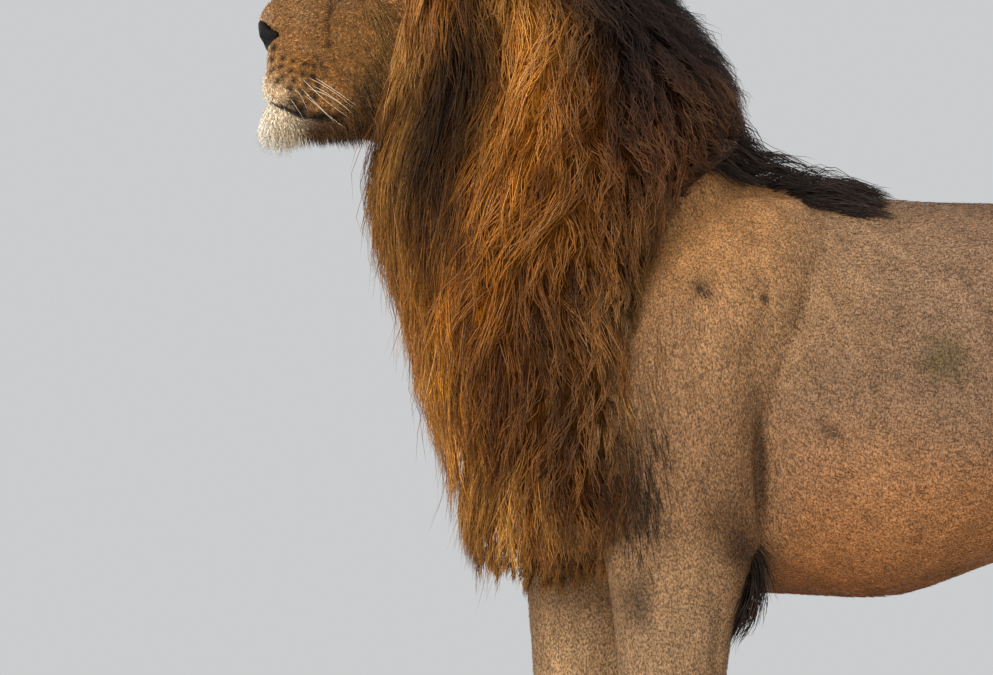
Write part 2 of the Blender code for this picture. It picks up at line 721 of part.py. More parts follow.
def hollow_of_mane():
    """The room inside the mane for the flesh, as plain lofts wider than the real ones."""
    plain = [
        loft("hollow_head", [row._replace(half=row.half + 0.024, below=3) for row in SKULL], 14, 9),
        loft("hollow_neck", NECK, 12, 5),
        loft("hollow_trunk", TRUNK, 14, 10),
        loft("hollow_leg_left", FORELEG, 10, 9, stride_bend(0, *FORE_SWING)),
        cross_to_right(loft("leg", FORELEG, 10, 9, stride_bend(FORE_STRIDE, *FORE_SWING)), "hollow_leg_right"),
    ]
    ears = [ear_egg("hollow_ear", 0.003)]
    ears.append(mirrored(ears[0], "hollow_ear_right"))
    room = [grown(obj, MANE_GAP) for obj in plain] + [grown(obj) for obj in ears]
    for obj in plain + ears:
        bpy.data.objects.remove(obj)
    return room


def build():
    whole = model_whole()
    wider = {group: [grown(obj) for obj in objects] for group, objects in whole.items()}
    wider["hollow"] = hollow_of_mane()
    for part, planes in (("trunk", [NECK_BASE]), ("neck", [flip(NECK_BASE), flip(NECK_TOP)]), ("head", [NECK_TOP])):
        for point, normal in planes:
            cut_away(whole[part][0], Vector(point) - Vector(normal) * GAP / 2, normal)
    for group, neighbours in TRIMMED_BY.items():
        for obj in whole[group]:
            trim(obj, *[cutter for other in neighbours for cutter in wider[other]])
    for cutter in list(cutters.objects):
        bpy.data.objects.remove(cutter)

    head = whole["head"][0]
    jaw = part_jaw(head)
    trunk_parts = part_trunk(whole["trunk"][0])
    crest, sides, bibs = part_mane(whole["mane"][0])
    legs, tail_parts = part_limbs(whole["legs"], whole["tail"][0])

    paint("tawny", head, *whole["neck"], *trunk_parts, *whole["ears"], *legs)
    paint("tan", jaw, *tail_parts[:3])
    paint("nose_leather", *whole["nose"])
    paint("eye_amber", *whole["eyes"])
    paint("mane_gold", *sides)
    paint("mane_brown", *bibs)
    paint("mane_black", crest, *whole["withers"], tail_parts[3], *whole["tufts"])
    centre_on_origin()


for leftover in list(bpy.data.objects):
    bpy.data.objects.remove(leftover)
lion = bpy.data.collections.new("male_lion")
cutters = bpy.data.collections.new("cutters")
cutters.hide_render = True
bpy.context.scene.collection.children.link(lion)
bpy.context.scene.collection.children.link(cutters)
build()
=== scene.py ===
# %% [markdown]
# # A standing male lion
#
# This lesson builds the look of a life-size lion over the solids that give its size and weight. The lion
# stands square on four paws, head level, mouth closed. There are five kinds of surface on it:
#
# * one skin, from nose to tail, which carries the shape of bone, muscle and fold
# * short flat fur over the face, body and legs, a few millimetres deep
# * the mane: hair of 10 to 30 cm that hangs in locks from the cheeks, neck and chest
# * black hair on the withers, elbows and tail
# * small separate parts: eyes, nose leather, whiskers and claws
#
# Lengths are metres. While it is modelled, y is the distance behind the tip of the nose; the last step of
# every piece moves it to its place in the shared frame.

# %% Set up
import math
from collections import namedtuple

import bpy
import numpy as np
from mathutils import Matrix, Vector
from mathutils.bvhtree import BVHTree


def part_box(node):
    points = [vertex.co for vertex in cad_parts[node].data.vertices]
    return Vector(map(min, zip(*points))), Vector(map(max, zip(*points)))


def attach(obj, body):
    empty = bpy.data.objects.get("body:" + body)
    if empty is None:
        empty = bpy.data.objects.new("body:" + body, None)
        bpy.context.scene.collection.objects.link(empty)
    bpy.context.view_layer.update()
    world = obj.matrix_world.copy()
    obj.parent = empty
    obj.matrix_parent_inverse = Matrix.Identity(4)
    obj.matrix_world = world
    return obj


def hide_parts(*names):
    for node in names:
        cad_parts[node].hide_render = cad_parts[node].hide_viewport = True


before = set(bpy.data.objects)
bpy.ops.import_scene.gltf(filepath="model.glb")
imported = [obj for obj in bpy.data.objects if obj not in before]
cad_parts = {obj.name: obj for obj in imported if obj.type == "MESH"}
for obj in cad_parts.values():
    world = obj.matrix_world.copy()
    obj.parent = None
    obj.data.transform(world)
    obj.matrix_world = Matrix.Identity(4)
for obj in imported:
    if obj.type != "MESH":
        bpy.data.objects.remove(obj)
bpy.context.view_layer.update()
NOSE_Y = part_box("nose")[0].y  # the frame's y at the tip of the nose
TO_FRAME = np.array([0.0, NOSE_Y, 0.0])
rng = np.random.default_rng(11)

# %% [markdown]
# ## Sections
#
# A body can be drawn up as sections, as a shipwright does: a few cross-sections and smooth curves through
# them. Every section here is a superellipse, |x/a|^n + |z/b|^n = 1. With n = 2 it is an ellipse, and a larger
# n is boxier. It could also be sculpted by hand, but a table is easy to measure and to change. The trunk and
# head have upright sections along y, the legs and mane have level ones, and the neck and tail have round
# ones square to a bent path.

# %% Sections of the body
Slice = namedtuple("Slice", "y top bottom widest half above below")
Level = namedtuple("Level", "z front back x half ahead behind")
Round = namedtuple("Round", "x y z tall wide")


def rows_of(text):
    """The rows of a table written as text, each split into words. Its first line names the columns."""
    return [line.split("#")[0].split() for line in text.splitlines()[1:]]


def sections(kind, text):
    """Sections from a table: five columns in millimetres, then the powers of the two halves."""
    table = [[float(word) for word in row] for row in rows_of(text)]
    return [kind(*(value / 1000 for value in row[:5]), *row[5:]) for row in table]


TRUNK = sections(Slice, """y top bottom widest half above below
335 955 735 840 60 2 2
370 1010 660 840 110 2.1 2.1
440 1075 605 830 145 2.1 2.1
540 1095 588 810 160 2 2.2
660 1075 579 790 176 2 2.3
760 1060 578 780 186 2.1 2.3
880 1055 615 790 187 2.1 2.2
1010 1055 657 810 176 2.2 2.1
1130 1056 685 830 162 2.3 2.1
1250 1056 705 850 154 2.3 2
1380 1030 712 860 145 2.2 2
1480 985 725 850 118 2 2
1540 925 765 840 62 2 2""")
NECK = sections(Round, """x y z tall wide
0 470 900 205 135
0 415 1010 190 128
0 355 1120 160 118
0 305 1230 140 110
0 275 1300 110 90""")
SKULL = sections(Slice, """y top bottom widest half above below
10 1262 1176 1215 26 2 2.2
20 1288 1162 1205 43 1.9 2.5
45 1308 1148 1198 56 1.8 2.7
75 1323 1142 1200 62 1.8 2.6
105 1340 1134 1215 70 1.9 2.4
135 1364 1126 1240 88 2.1 2.2
170 1392 1122 1265 106 2.3 2
210 1416 1124 1275 118 2.4 2
260 1430 1140 1285 120 2.3 2
310 1424 1180 1300 106 2.1 2
350 1390 1240 1315 76 2 2
372 1350 1285 1315 32 2 2""")
CHIN = sections(Slice, """y top bottom widest half above below
8 1166 1140 1154 14 2 2
16 1172 1131 1151 29 2.2 2.2
42 1176 1128 1148 38 2.2 2.2
75 1172 1128 1148 45 2.2 2.2
115 1170 1130 1149 56 2.2 2.2
150 1180 1134 1156 60 2.2 2.2""")
FORELEG = sections(Level, """z front back x half ahead behind
1062 545 650 66 22 2 2
1020 485 685 94 44 2 2
940 425 668 122 64 2.1 2.2
850 385 632 130 75 2.2 2.5
760 380 606 132 77 2.2 2.6
690 392 598 131 73 2.2 2.5
620 412 592 129 66 2.2 2.3
540 424 570 128 61 2.2 2.1
450 430 558 127 55 2.2 2.1
360 440 546 126 48 2.2 2.1
290 443 542 126 45 2.3 2.2
240 440 546 126 46 2.3 2.2
180 444 534 126 43 2.3 2.2
120 428 530 127 46 2.2 2.2
75 402 532 128 55 2.2 2.3
40 386 534 128 61 2.3 2.3
12 388 532 128 60 2.3 2.4
-10 405 520 128 48 2.2 2.4""")
HIND_LEG = sections(Level, """z front back x half ahead behind
1000 1255 1400 72 40 2 2
940 1190 1470 96 62 2.1 2.1
860 1155 1530 108 75 2.1 2.1
770 1140 1548 112 78 2.1 2.2
690 1145 1528 113 72 2.1 2.2
610 1165 1480 115 63 2.1 2.2
530 1205 1452 116 55 2.1 2.2
450 1275 1458 117 46 2.1 2.1
385 1352 1500 117 39 2.1 2
330 1408 1536 118 36 2.2 2
280 1432 1540 118 35 2.2 2
200 1436 1522 118 36 2.2 2
130 1422 1512 118 40 2.2 2.1
75 1396 1512 118 49 2.2 2.3
40 1378 1512 118 55 2.3 2.3
12 1380 1510 118 54 2.3 2.4
-10 1394 1498 118 44 2.2 2.4""")
MANE = sections(Level, """z front back x half ahead behind
604 302 394 0 50 2 2
624 266 440 0 118 2.2 2.4
668 244 490 0 188 2.3 3.2
740 227 492 0 218 2.3 4
830 194 466 0 226 2.3 4
910 176 464 0 230 2.3 4
980 150 476 0 230 2.3 3.6
1060 129 516 0 228 2.4 3
1140 127 580 0 220 2.5 2.4
1220 148 560 0 214 2.6 2.2
1300 158 498 0 206 2.6 2.1
1370 182 452 0 184 2.4 2
1430 215 412 0 140 2.2 2
1470 246 378 0 88 2 2
1490 280 340 0 30 2 2""")
TAIL = sections(Round, """x y z tall wide
0 1470 955 46 50
0 1530 925 40 42
2 1585 868 32 32
6 1618 780 26 26
12 1628 670 22 22
20 1622 560 19 19
28 1614 450 18 18
34 1618 350 19 19
36 1632 290 32 32
36 1652 225 42 42
34 1676 160 34 34
31 1698 110 16 16""")
FORE_STRIDE, HIND_STRIDE = 0.100, 0.130  # the right feet stand this far ahead of the left
FORE_SWING, HIND_SWING = (0.95, 0.55), (0.90, 0.45)

# %% [markdown]
# ## Lofts
#
# A loft is a grid: one row of points for each section, one column for each step round it. The columns follow
# cubic curves through the sections, so the surface has no kink where a section stands.


# %% Lofts through sections
def unit_rows(rows):
    """Each row at length 1."""
    return rows / np.maximum(np.linalg.norm(rows, axis=-1, keepdims=True), 1e-12)


def arc_length(rows):
    """The distance along a path from its first point to each of its points."""
    return np.concatenate([[0], np.cumsum(np.linalg.norm(np.diff(rows, axis=0), axis=1))])


def smooth_stations(stations, count):
    """Sections resampled evenly along their length, each column a cubic through its values."""
    table = np.array(stations, float)
    along = arc_length(table[:, :3])
    slope = np.gradient(table, along, axis=0)
    at = np.linspace(0, along[-1], count)
    i = np.clip(np.searchsorted(along, at, side="right") - 1, 0, len(along) - 2)
    width = (along[i + 1] - along[i])[:, None]
    t = (at - along[i])[:, None] / width
    start = (2 * t**3 - 3 * t**2 + 1) * table[i] + (t**3 - 2 * t**2 + t) * width * slope[i]
    end = (3 * t**2 - 2 * t**3) * table[i + 1] + (t**3 - t**2) * width * slope[i + 1]
    return start + end


def unit_curve(sides, high, low):
    """A closed curve of half size 1 for each row: a superellipse whose halves differ in squareness."""
    angle = 2 * np.pi * (np.arange(sides) + 0.5) / sides
    cos, sin = np.cos(angle), np.sin(angle)
    power = 2 / np.where(sin >= 0, high[:, None], low[:, None])
    return np.sign(cos) * np.abs(cos) ** power, np.sign(sin) * np.abs(sin) ** power


def rings_of(stations, count, sides):
    """Grid of points (count, sides, 3) through sections of one kind."""
    rows = smooth_stations(stations, count)
    if isinstance(stations[0], Round):
        ahead = unit_rows(np.gradient(rows[:, :3], axis=0))
        side = unit_rows(np.array([1.0, 0, 0]) - ahead[:, :1] * ahead)
        up = np.cross(ahead, side)
        across, along = unit_curve(sides, np.full(count, 2.0), np.full(count, 2.0))
        wide = (rows[:, 4, None] * across)[..., None] * side[:, None]
        return rows[:, None, :3] + wide + (rows[:, 3, None] * along)[..., None] * up[:, None]
    if isinstance(stations[0], Slice):
        y, top, bottom, widest, half, above, below = rows.T[:, :, None]
        across, up = unit_curve(sides, above[:, 0], below[:, 0])
        z = widest + up * np.where(up > 0, top - widest, widest - bottom)
        return np.stack([across * half, y + 0 * across, z], axis=-1)
    z, front, back, x, half, ahead, behind = rows.T[:, :, None]
    across, along = unit_curve(sides, behind[:, 0], ahead[:, 0])
    y = (front + back) / 2 + along * (back - front) / 2
    return np.stack([x + across * half, y, z + 0 * across], axis=-1)


def grid_mesh(rings):
    """(points, quads as index rows) of a closed tube: each end shrinks to one point, kept as a tiny ring."""
    first, last = rings[0].mean(axis=0), rings[-1].mean(axis=0)
    caps = [first + (rings[0] - first) * 1e-3, last + (rings[-1] - last) * 1e-3]
    rings = np.concatenate([caps[0][None], rings, caps[1][None]])
    count, sides = rings.shape[:2]
    s = np.arange(sides)
    n = np.roll(s, -1)
    base = (np.arange(count - 1) * sides)[:, None]
    quads = np.stack([base + s, base + n, base + sides + n, base + sides + s], axis=-1).reshape(-1, 4)
    return rings.reshape(-1, 3), quads


def egg_mesh(centre, half_sizes, count=14, sides=24):
    """An ellipsoid as a tube: latitude t from pole to pole, longitude round it."""
    t = np.linspace(0.02, np.pi - 0.02, count)[:, None]
    a = 2 * np.pi * np.arange(sides)[None] / sides
    unit = np.stack([np.sin(t) * np.cos(a), np.sin(t) * np.sin(a), np.cos(t) + 0 * a], axis=-1)
    return grid_mesh(np.asarray(centre) + unit * np.asarray(half_sizes))


def striding(rings, stride, swing):
    """A leg slid forward, from nothing at the swing's top to the whole stride at its bottom and below."""
    top, bottom = swing
    t = np.clip((top - rings[..., 2]) / (top - bottom), 0, 1)
    return rings - np.array([0, stride, 0]) * (t * t * (3 - 2 * t))[..., None]


def to_right(mesh):
    """The same piece for the right side: x becomes -x."""
    points, quads = mesh
    return points * [-1, 1, 1], quads


# %% [markdown]
# ## One skin out of many lofts
#
# Muscles run into each other with no edge between them. So the lofts simply overlap, and a remesher turns the
# whole into one closed surface: it measures the distance to the lofts on a lattice of small cells and lays
# a new surface where that distance is zero. Smoothing then rounds the furrows where two lofts met, as skin
# stretched over muscle does. A union by Booleans would keep every furrow sharp.


# %% Fusing, and the arrays of a mesh
def mesh_object(name, points, faces):
    """A new object from arrays. faces is one index row per face, all of one size."""
    mesh = bpy.data.meshes.new(name)
    mesh.vertices.add(len(points))
    mesh.vertices.foreach_set("co", np.asarray(points, np.float32).ravel())
    corners = faces.shape[1]
    mesh.loops.add(faces.size)
    mesh.loops.foreach_set("vertex_index", faces.astype(np.int32).ravel())
    mesh.polygons.add(len(faces))
    mesh.polygons.foreach_set("loop_start", np.arange(0, faces.size, corners, dtype=np.int32))
    mesh.update(calc_edges=True)
    made = bpy.data.objects.new(name, mesh)
    bpy.context.scene.collection.objects.link(made)
    return made


def joined(meshes):
    """Several (points, faces) as one."""
    starts = np.cumsum([0] + [len(points) for points, _ in meshes[:-1]])
    faces = np.concatenate([face + start for (_, face), start in zip(meshes, starts)])
    return np.concatenate([points for points, _ in meshes]), faces


def evaluated(name, points, faces, *modifiers):
    """(points, triangles) of a mesh after modifiers, each given as (kind, {setting: value})."""
    work = mesh_object(name, points, faces)
    for kind, settings in modifiers:
        modifier = work.modifiers.new(kind, kind)
        for key, value in settings.items():
            setattr(modifier, key, value)
    graph = bpy.context.evaluated_depsgraph_get()
    mesh = work.evaluated_get(graph).to_mesh()
    mesh.calc_loop_triangles()
    out = np.empty(len(mesh.vertices) * 3, np.float32)
    mesh.vertices.foreach_get("co", out)
    triangles = np.empty(len(mesh.loop_triangles) * 3, np.int32)
    mesh.loop_triangles.foreach_get("vertices", triangles)
    bpy.data.objects.remove(work)
    return out.reshape(-1, 3).astype(float), triangles.reshape(-1, 3)


def fused(meshes, cell, rounds):
    """One closed skin round overlapping meshes, on a lattice of the given cell, softened by some rounds."""
    points, quads = joined(meshes)
    remesh = ("REMESH", {"mode": "VOXEL", "voxel_size": cell})
    return evaluated("fuse", points, quads, remesh, ("SMOOTH", {"iterations": rounds}))


def vertex_normals(points, triangles):
    """Unit normals, each the area-weighted mean of the triangles round a vertex."""
    a, b, c = (points[triangles[:, i]] for i in range(3))
    across = np.repeat(np.cross(b - a, c - a), 3, axis=0)
    total = [np.bincount(triangles.ravel(), across[:, i], len(points)) for i in range(3)]
    return unit_rows(np.stack(total, axis=1))


print("the leg's loft has", grid_mesh(rings_of(FORELEG, 60, 40))[1].shape, "corners")

# %% [markdown]
# ## The body's skin
#
# A lion has no straight line from shoulder to hip: the blade's ridge, the triceps, the crease behind it, the
# ribs, the hip bone and the fold of the flank all show through fur only a few millimetres deep. The lofts
# give the masses. Brushes then add what shows on them: a swell is a Gaussian hill, and a fold is a Gaussian
# ridge or furrow along a path. Each is given once, for the left side, and read with |x| so that it falls on
# both. The legs' brushes are read in the leg's own place before its stride.


# %% Brushes
def slide(points, stride=(FORE_STRIDE, HIND_STRIDE)):
    """How far back each point of a right leg would be if the foot stood level with the left one."""
    fore = points[:, 1] < 0.88
    top = np.where(fore, FORE_SWING[0], HIND_SWING[0])
    bottom = np.where(fore, FORE_SWING[1], HIND_SWING[1])
    t = np.clip((top - points[:, 2]) / (top - bottom), 0, 1)
    beside = np.clip((-points[:, 0] - 0.03) / 0.03, 0, 1)
    return np.where(fore, *stride) * t * t * (3 - 2 * t) * beside


def on_left(points):
    """Each point's place on the left half, with the legs drawn level."""
    return np.stack([np.abs(points[:, 0]), points[:, 1] + slide(points), points[:, 2]], axis=1)


def near(places, centre, reach):
    """A hill of height 1 at the centre, exp(-r^2/2), with its own reach along each axis."""
    return np.exp(-0.5 * (((places - centre) / reach) ** 2).sum(axis=1))


def from_path(places, path, taper=0.0):
    """Distance from each place to a line through the path's points, plus a taper near the line's ends."""
    best = np.full(len(places), 9.0)
    for i, (start, end) in enumerate(zip(path[:-1], path[1:])):
        along = end - start
        t = np.clip((places - start) @ along / (along @ along), 0, 1)
        gap = np.linalg.norm(places - start - t[:, None] * along, axis=1)
        done = (i + t) / (len(path) - 1)
        best = np.minimum(best, gap + taper * np.clip(1 - 4 * np.minimum(done, 1 - done), 0, 1))
    return best


def snapped(tree, path, towards):
    """A path of points moved along a direction onto the surface."""
    found = [tree.ray_cast(Vector(p) - Vector(towards) * 0.5, Vector(towards), 1.0)[0] for p in path]
    return np.array([p if hit is None else hit for p, hit in zip(path, found)])


def tree_of(points, triangles):
    """The surface sorted into nested boxes, so that the nearest place on it is found quickly."""
    return BVHTree.FromPolygons(points.tolist(), triangles.tolist())


def brushed(points, triangles, swells, folds, places=on_left, taper=1.6):
    """The surface moved along its normals by the sum of its swells and folds, each height x exp(-gap^2/2)."""
    tree = tree_of(points, triangles)
    at = places(points)
    height = sum(h * near(at, np.array(c), np.array(r)) for c, r, h in swells)
    for path, width, h in folds:
        towards = (0, 1, 0) if len(path[0]) == 3 and path[0][1] < -0.1 else (-1, 0, 0)
        line = snapped(tree, path, towards)
        gap = from_path(at, line, taper * width)
        height = height + h * np.exp(-0.5 * (gap / width) ** 2)
    return points + vertex_normals(points, triangles) * height[:, None]


def swells(text):
    """Swells (centre, reach, height) from a table in millimetres."""
    rows = [[float(word) / 1000 for word in row] for row in rows_of(text)]
    return [(row[:3], row[3:6], row[6]) for row in rows]


def folds(text):
    """Folds (path, width, height) from a table in millimetres. The path is seen from the left side."""
    rows = [[float(word) / 1000 for word in row] for row in rows_of(text)]
    return [([(0.1, *point) for point in zip(row[2::2], row[3::2])], row[0], row[1]) for row in rows]


# %% Swells and folds of the body
BODY_SWELLS = swells("""x y z reach_x reach_y reach_z height
140 655 985 50 40 55 -9  # hollow behind the blade
130 560 800 60 45 80 7  # triceps
150 600 655 40 16 22 8  # point of the elbow
170 800 830 50 110 100 3  # ribs
140 1120 900 50 50 70 -10  # hollow before the hip
100 1255 1010 30 30 28 7  # hip bone
110 1420 960 40 40 40 -5
170 1330 760 50 80 90 5  # thigh
150 1190 640 50 26 40 6  # stifle
140 1430 460 30 15 50 -6  # hollow before the heel's tendon
90 1430 460 30 15 50 -5
150 1320 500 30 30 60 4  # calf
120 1530 335 30 14 16 5  # point of the hock
170 455 560 30 24 70 4  # muscle on the front of the forearm
130 546 235 20 12 14 8  # pad behind the wrist
160 440 262 20 14 30 3  # wrist
90 440 262 20 14 30 3
0 1000 640 50 200 30 -3""")
BODY_FOLDS = [
    ([(0.15, 0.655, 1.045), (0.15, 0.585, 0.945), (0.15, 0.520, 0.840)], 0.022, 0.0045),  # ridge of the blade
]
BODY_FOLDS += folds("""width height, then y z of each point
15 -6.5  606 950  596 860  590 770  594 670
5.5 -8.5  600 800  598.5 740  600 680  606 645  # armpit
6 3  588 800  586.5 740  588 680
7 -3  530 640  550 560  545 420  # back of the forearm
14 7  1100 715  1160 690  1190 640  # fold of the flank
10 -4  1150 800  1165 720  1200 600
12 -5  1440 860  1450 740  1400 600  # behind the thigh""")
RIBS, FIRST_RIB, RIB_SPACING, RIB_HEIGHT = 7, 0.690, 0.052, 0.0016
for rib in range(RIBS):
    top = FIRST_RIB + RIB_SPACING * rib
    line = [(0.1, top, 0.960), (0.1, top + 0.035, 0.860), (0.1, top + 0.03, 0.740)]
    BODY_FOLDS.append((line, 0.010, RIB_HEIGHT))
print(len(BODY_SWELLS), "swells and", len(BODY_FOLDS), "folds on the body")

# %% Feet and legs
TOE_SPREAD, TOE_HALF_SIZES = 0.041, (0.0215, 0.046, 0.033)
FORE_TOES, HIND_TOES = 0.366, 1.358  # how far behind the nose the toes of a foot start
TOES = (-1, -0.34, 0.34, 1)  # across the foot


def foot_toes(x, toe_front):
    """Four toes: the middle two ahead of the outer ones, each with a rounder tip and a knuckle above."""
    parts = []
    for across in TOES:
        y = toe_front + 0.014 * across**2
        place = x + TOE_SPREAD * across
        parts.append(egg_mesh((place, y + 0.046, 0.024), TOE_HALF_SIZES))
        parts.append(egg_mesh((place, y + 0.026, 0.022), (0.0195, 0.0245, 0.025)))
        parts.append(egg_mesh((place, y + 0.052, 0.040), (0.016, 0.026, 0.021)))
    return parts


def leg_meshes(levels, toe_front, stride, swing):
    """The left leg, and the right one a stride ahead."""
    x = levels[-2].x
    left = [grid_mesh(rings_of(levels, 60, 40)), *foot_toes(x, toe_front)]
    right = [grid_mesh(striding(rings_of(levels, 60, 40), stride, swing))]
    right += [(points - [0, stride, 0], quads) for points, quads in left[1:]]
    return left + [to_right(mesh) for mesh in right]


def coat_depth(at):
    """Depth of the flat coat in metres: 4 mm on the trunk, 3 on the legs and 2 on the feet."""
    low = np.clip((0.60 - at[:, 2]) / 0.45, 0, 1)
    return 0.004 - 0.002 * low


# %% Fuse and shape the body
body_parts = [grid_mesh(rings_of(TRUNK, 80, 72)), grid_mesh(rings_of(NECK, 24, 48))]
body_parts += leg_meshes(FORELEG, FORE_TOES, FORE_STRIDE, FORE_SWING)
body_parts += leg_meshes(HIND_LEG, HIND_TOES, HIND_STRIDE, HIND_SWING)
body_parts.append(grid_mesh(rings_of(TAIL[:8], 70, 24)))
BODY_CELL, BODY_ROUNDS = 0.0042, 8  # the lattice's cell in metres, and rounds of smoothing
body_points, body_faces = fused(body_parts, BODY_CELL, BODY_ROUNDS)
body_points -= vertex_normals(body_points, body_faces) * coat_depth(on_left(body_points))[:, None]
body_points = brushed(body_points, body_faces, BODY_SWELLS, BODY_FOLDS)
body_points[:, 2] = np.maximum(body_points[:, 2], 0.0)
print("body skin", len(body_faces), "triangles, up to", np.round(body_points.max(0), 3))
# %% [markdown]
# ## The head's skin
#
# The head is the same kind of surface on a finer lattice, because its folds are a few millimetres wide: the
# eye sockets, the heavy whisker pads that overhang the mouth, the straight broad bridge, the cheekbones and
# the strong chin. The lids are made round the eyeball: each skin point near it is moved along its ray from
# the eyeball's centre. Inside the almond-shaped opening the skin dives under the ball; outside, it lies on
# the ball with a lid's thickness and runs out into the face.

# %% The head's masses
EYE_RADIUS, EYE_AT = 0.0195, np.array([0.0531, 0.141, 1.330])
EAR_AT, EAR_TURN, EAR_LEAN = np.array([0.106, 0.252, 1.402]), math.radians(28), math.radians(24)
HEAD_LUMPS = """x y z half_x half_y half_z
34 50 1196 36 43 36  # whisker pad
0 31 1196 28 26 34  # front of the upper lip
0 34 1264 29 35.5 38  # end of the bridge
78 178 1288 38 56 34  # cheekbone
46 150 1352 30 32 20  # brow
76 205 1200 40 58 60  # jaw muscle"""


def ear_frame():
    """Rows are the ear's own axes: across, back and up, turned out and leaned out."""
    ct, st, cl, sl = math.cos(EAR_TURN), math.sin(EAR_TURN), math.cos(EAR_LEAN), math.sin(EAR_LEAN)
    turn = np.array([[ct, -st, 0], [st, ct, 0], [0, 0, 1]])
    lean = np.array([[cl, 0, sl], [0, 1, 0], [-sl, 0, cl]])
    return (turn @ lean).T


EAR_FUR = 0.0025  # depth of the fur on the ear's back


def ear_mesh():
    """A thick cup: out along an egg from its back pole to the rim, then in along a hollow to its own pole."""
    outer = np.linspace(0.03, 2.2, 16)[:, None]
    inner = np.linspace(1.50, 0.03, 14)[:, None]
    a = 2 * np.pi * np.arange(36)[None] / 36
    wide = np.concatenate([(0.047 - EAR_FUR) * np.sin(outer), 0.036 * np.sin(inner)])
    tall = np.concatenate([(0.056 - EAR_FUR) * np.sin(outer), 0.044 * np.sin(inner)])
    back = np.concatenate([(0.034 - EAR_FUR) * np.cos(outer), 0.032 * np.cos(inner) - 0.020])
    notch = 0.012 * np.exp(-0.5 * ((a + 0 * wide - np.pi * 1.42) / 0.25) ** 2)
    local = np.stack([wide * np.cos(a), back + notch * (back < -0.01), tall * np.sin(a)], axis=-1)
    points, quads = grid_mesh(local)
    return points @ ear_frame() + EAR_AT, quads

# %% Fuse the head
head_parts = [grid_mesh(rings_of(SKULL, 60, 64)), grid_mesh(rings_of(CHIN, 30, 40))]
for row in rows_of(HEAD_LUMPS):
    sizes = [float(word) / 1000 for word in row]
    centre, half_sizes = sizes[:3], sizes[3:]
    head_parts.append(egg_mesh(centre, half_sizes))
    if centre[0]:
        head_parts.append(to_right(head_parts[-1]))
head_parts += [ear_mesh(), to_right(ear_mesh())]
HEAD_CELL, HEAD_ROUNDS = 0.0022, 5
head_points, head_faces = fused(head_parts, HEAD_CELL, HEAD_ROUNDS)
print("head", len(head_faces), "triangles")

# %% [markdown]
# The eye's opening is drawn in the eye's own frame: forwards out of the socket, towards the outer corner, and
# up. A cat's opening slopes: its inner corner is lower and drawn out towards the nose.

# %% Lids
def unit(vector):
    """The vector at length 1."""
    return np.asarray(vector, float) / np.linalg.norm(vector)


EYE_OUT = unit((0.58, -0.78, 0.16))
EYE_SIDE = unit(np.cross(np.cross(EYE_OUT, (0.55, 0.83, 0.22)), EYE_OUT))
EYE_UP = unit(np.cross(EYE_SIDE, EYE_OUT))
EYE_UP = EYE_UP if EYE_UP[2] > 0 else -EYE_UP
print("the left eye faces", np.round(EYE_OUT, 2))


def lid_line(count=64):
    """The opening's edge on the eyeball, as unit directions from its centre: two arcs between two corners."""
    t = 2 * np.pi * np.arange(count) / count
    across, up = np.cos(t), np.sin(t)
    h = 0.0158 * across
    v = np.where(up > 0, 0.0092, 0.0086) * np.sign(up) * np.abs(up) ** 1.25 + 0.0022 * across
    v += -0.0028 * np.exp(-0.5 * ((across + 1) / 0.25) ** 2)
    out = np.sqrt(EYE_RADIUS**2 - h**2 - v**2)
    return (h[:, None] * EYE_SIDE + v[:, None] * EYE_UP + out[:, None] * EYE_OUT) / EYE_RADIUS


def inside_loop(h, v, loop_h, loop_v):
    """Whether points of a plane are inside a loop: an odd number of its edges cross the ray to the right."""
    inside = np.zeros(len(h), bool)
    for i in range(len(loop_h)):
        j = i - 1
        crosses = (loop_v[i] > v) != (loop_v[j] > v)
        at = (loop_h[j] - loop_h[i]) * (v - loop_v[i]) / (loop_v[j] - loop_v[i] + 1e-15) + loop_h[i]
        inside ^= crosses & (h < at)
    return inside


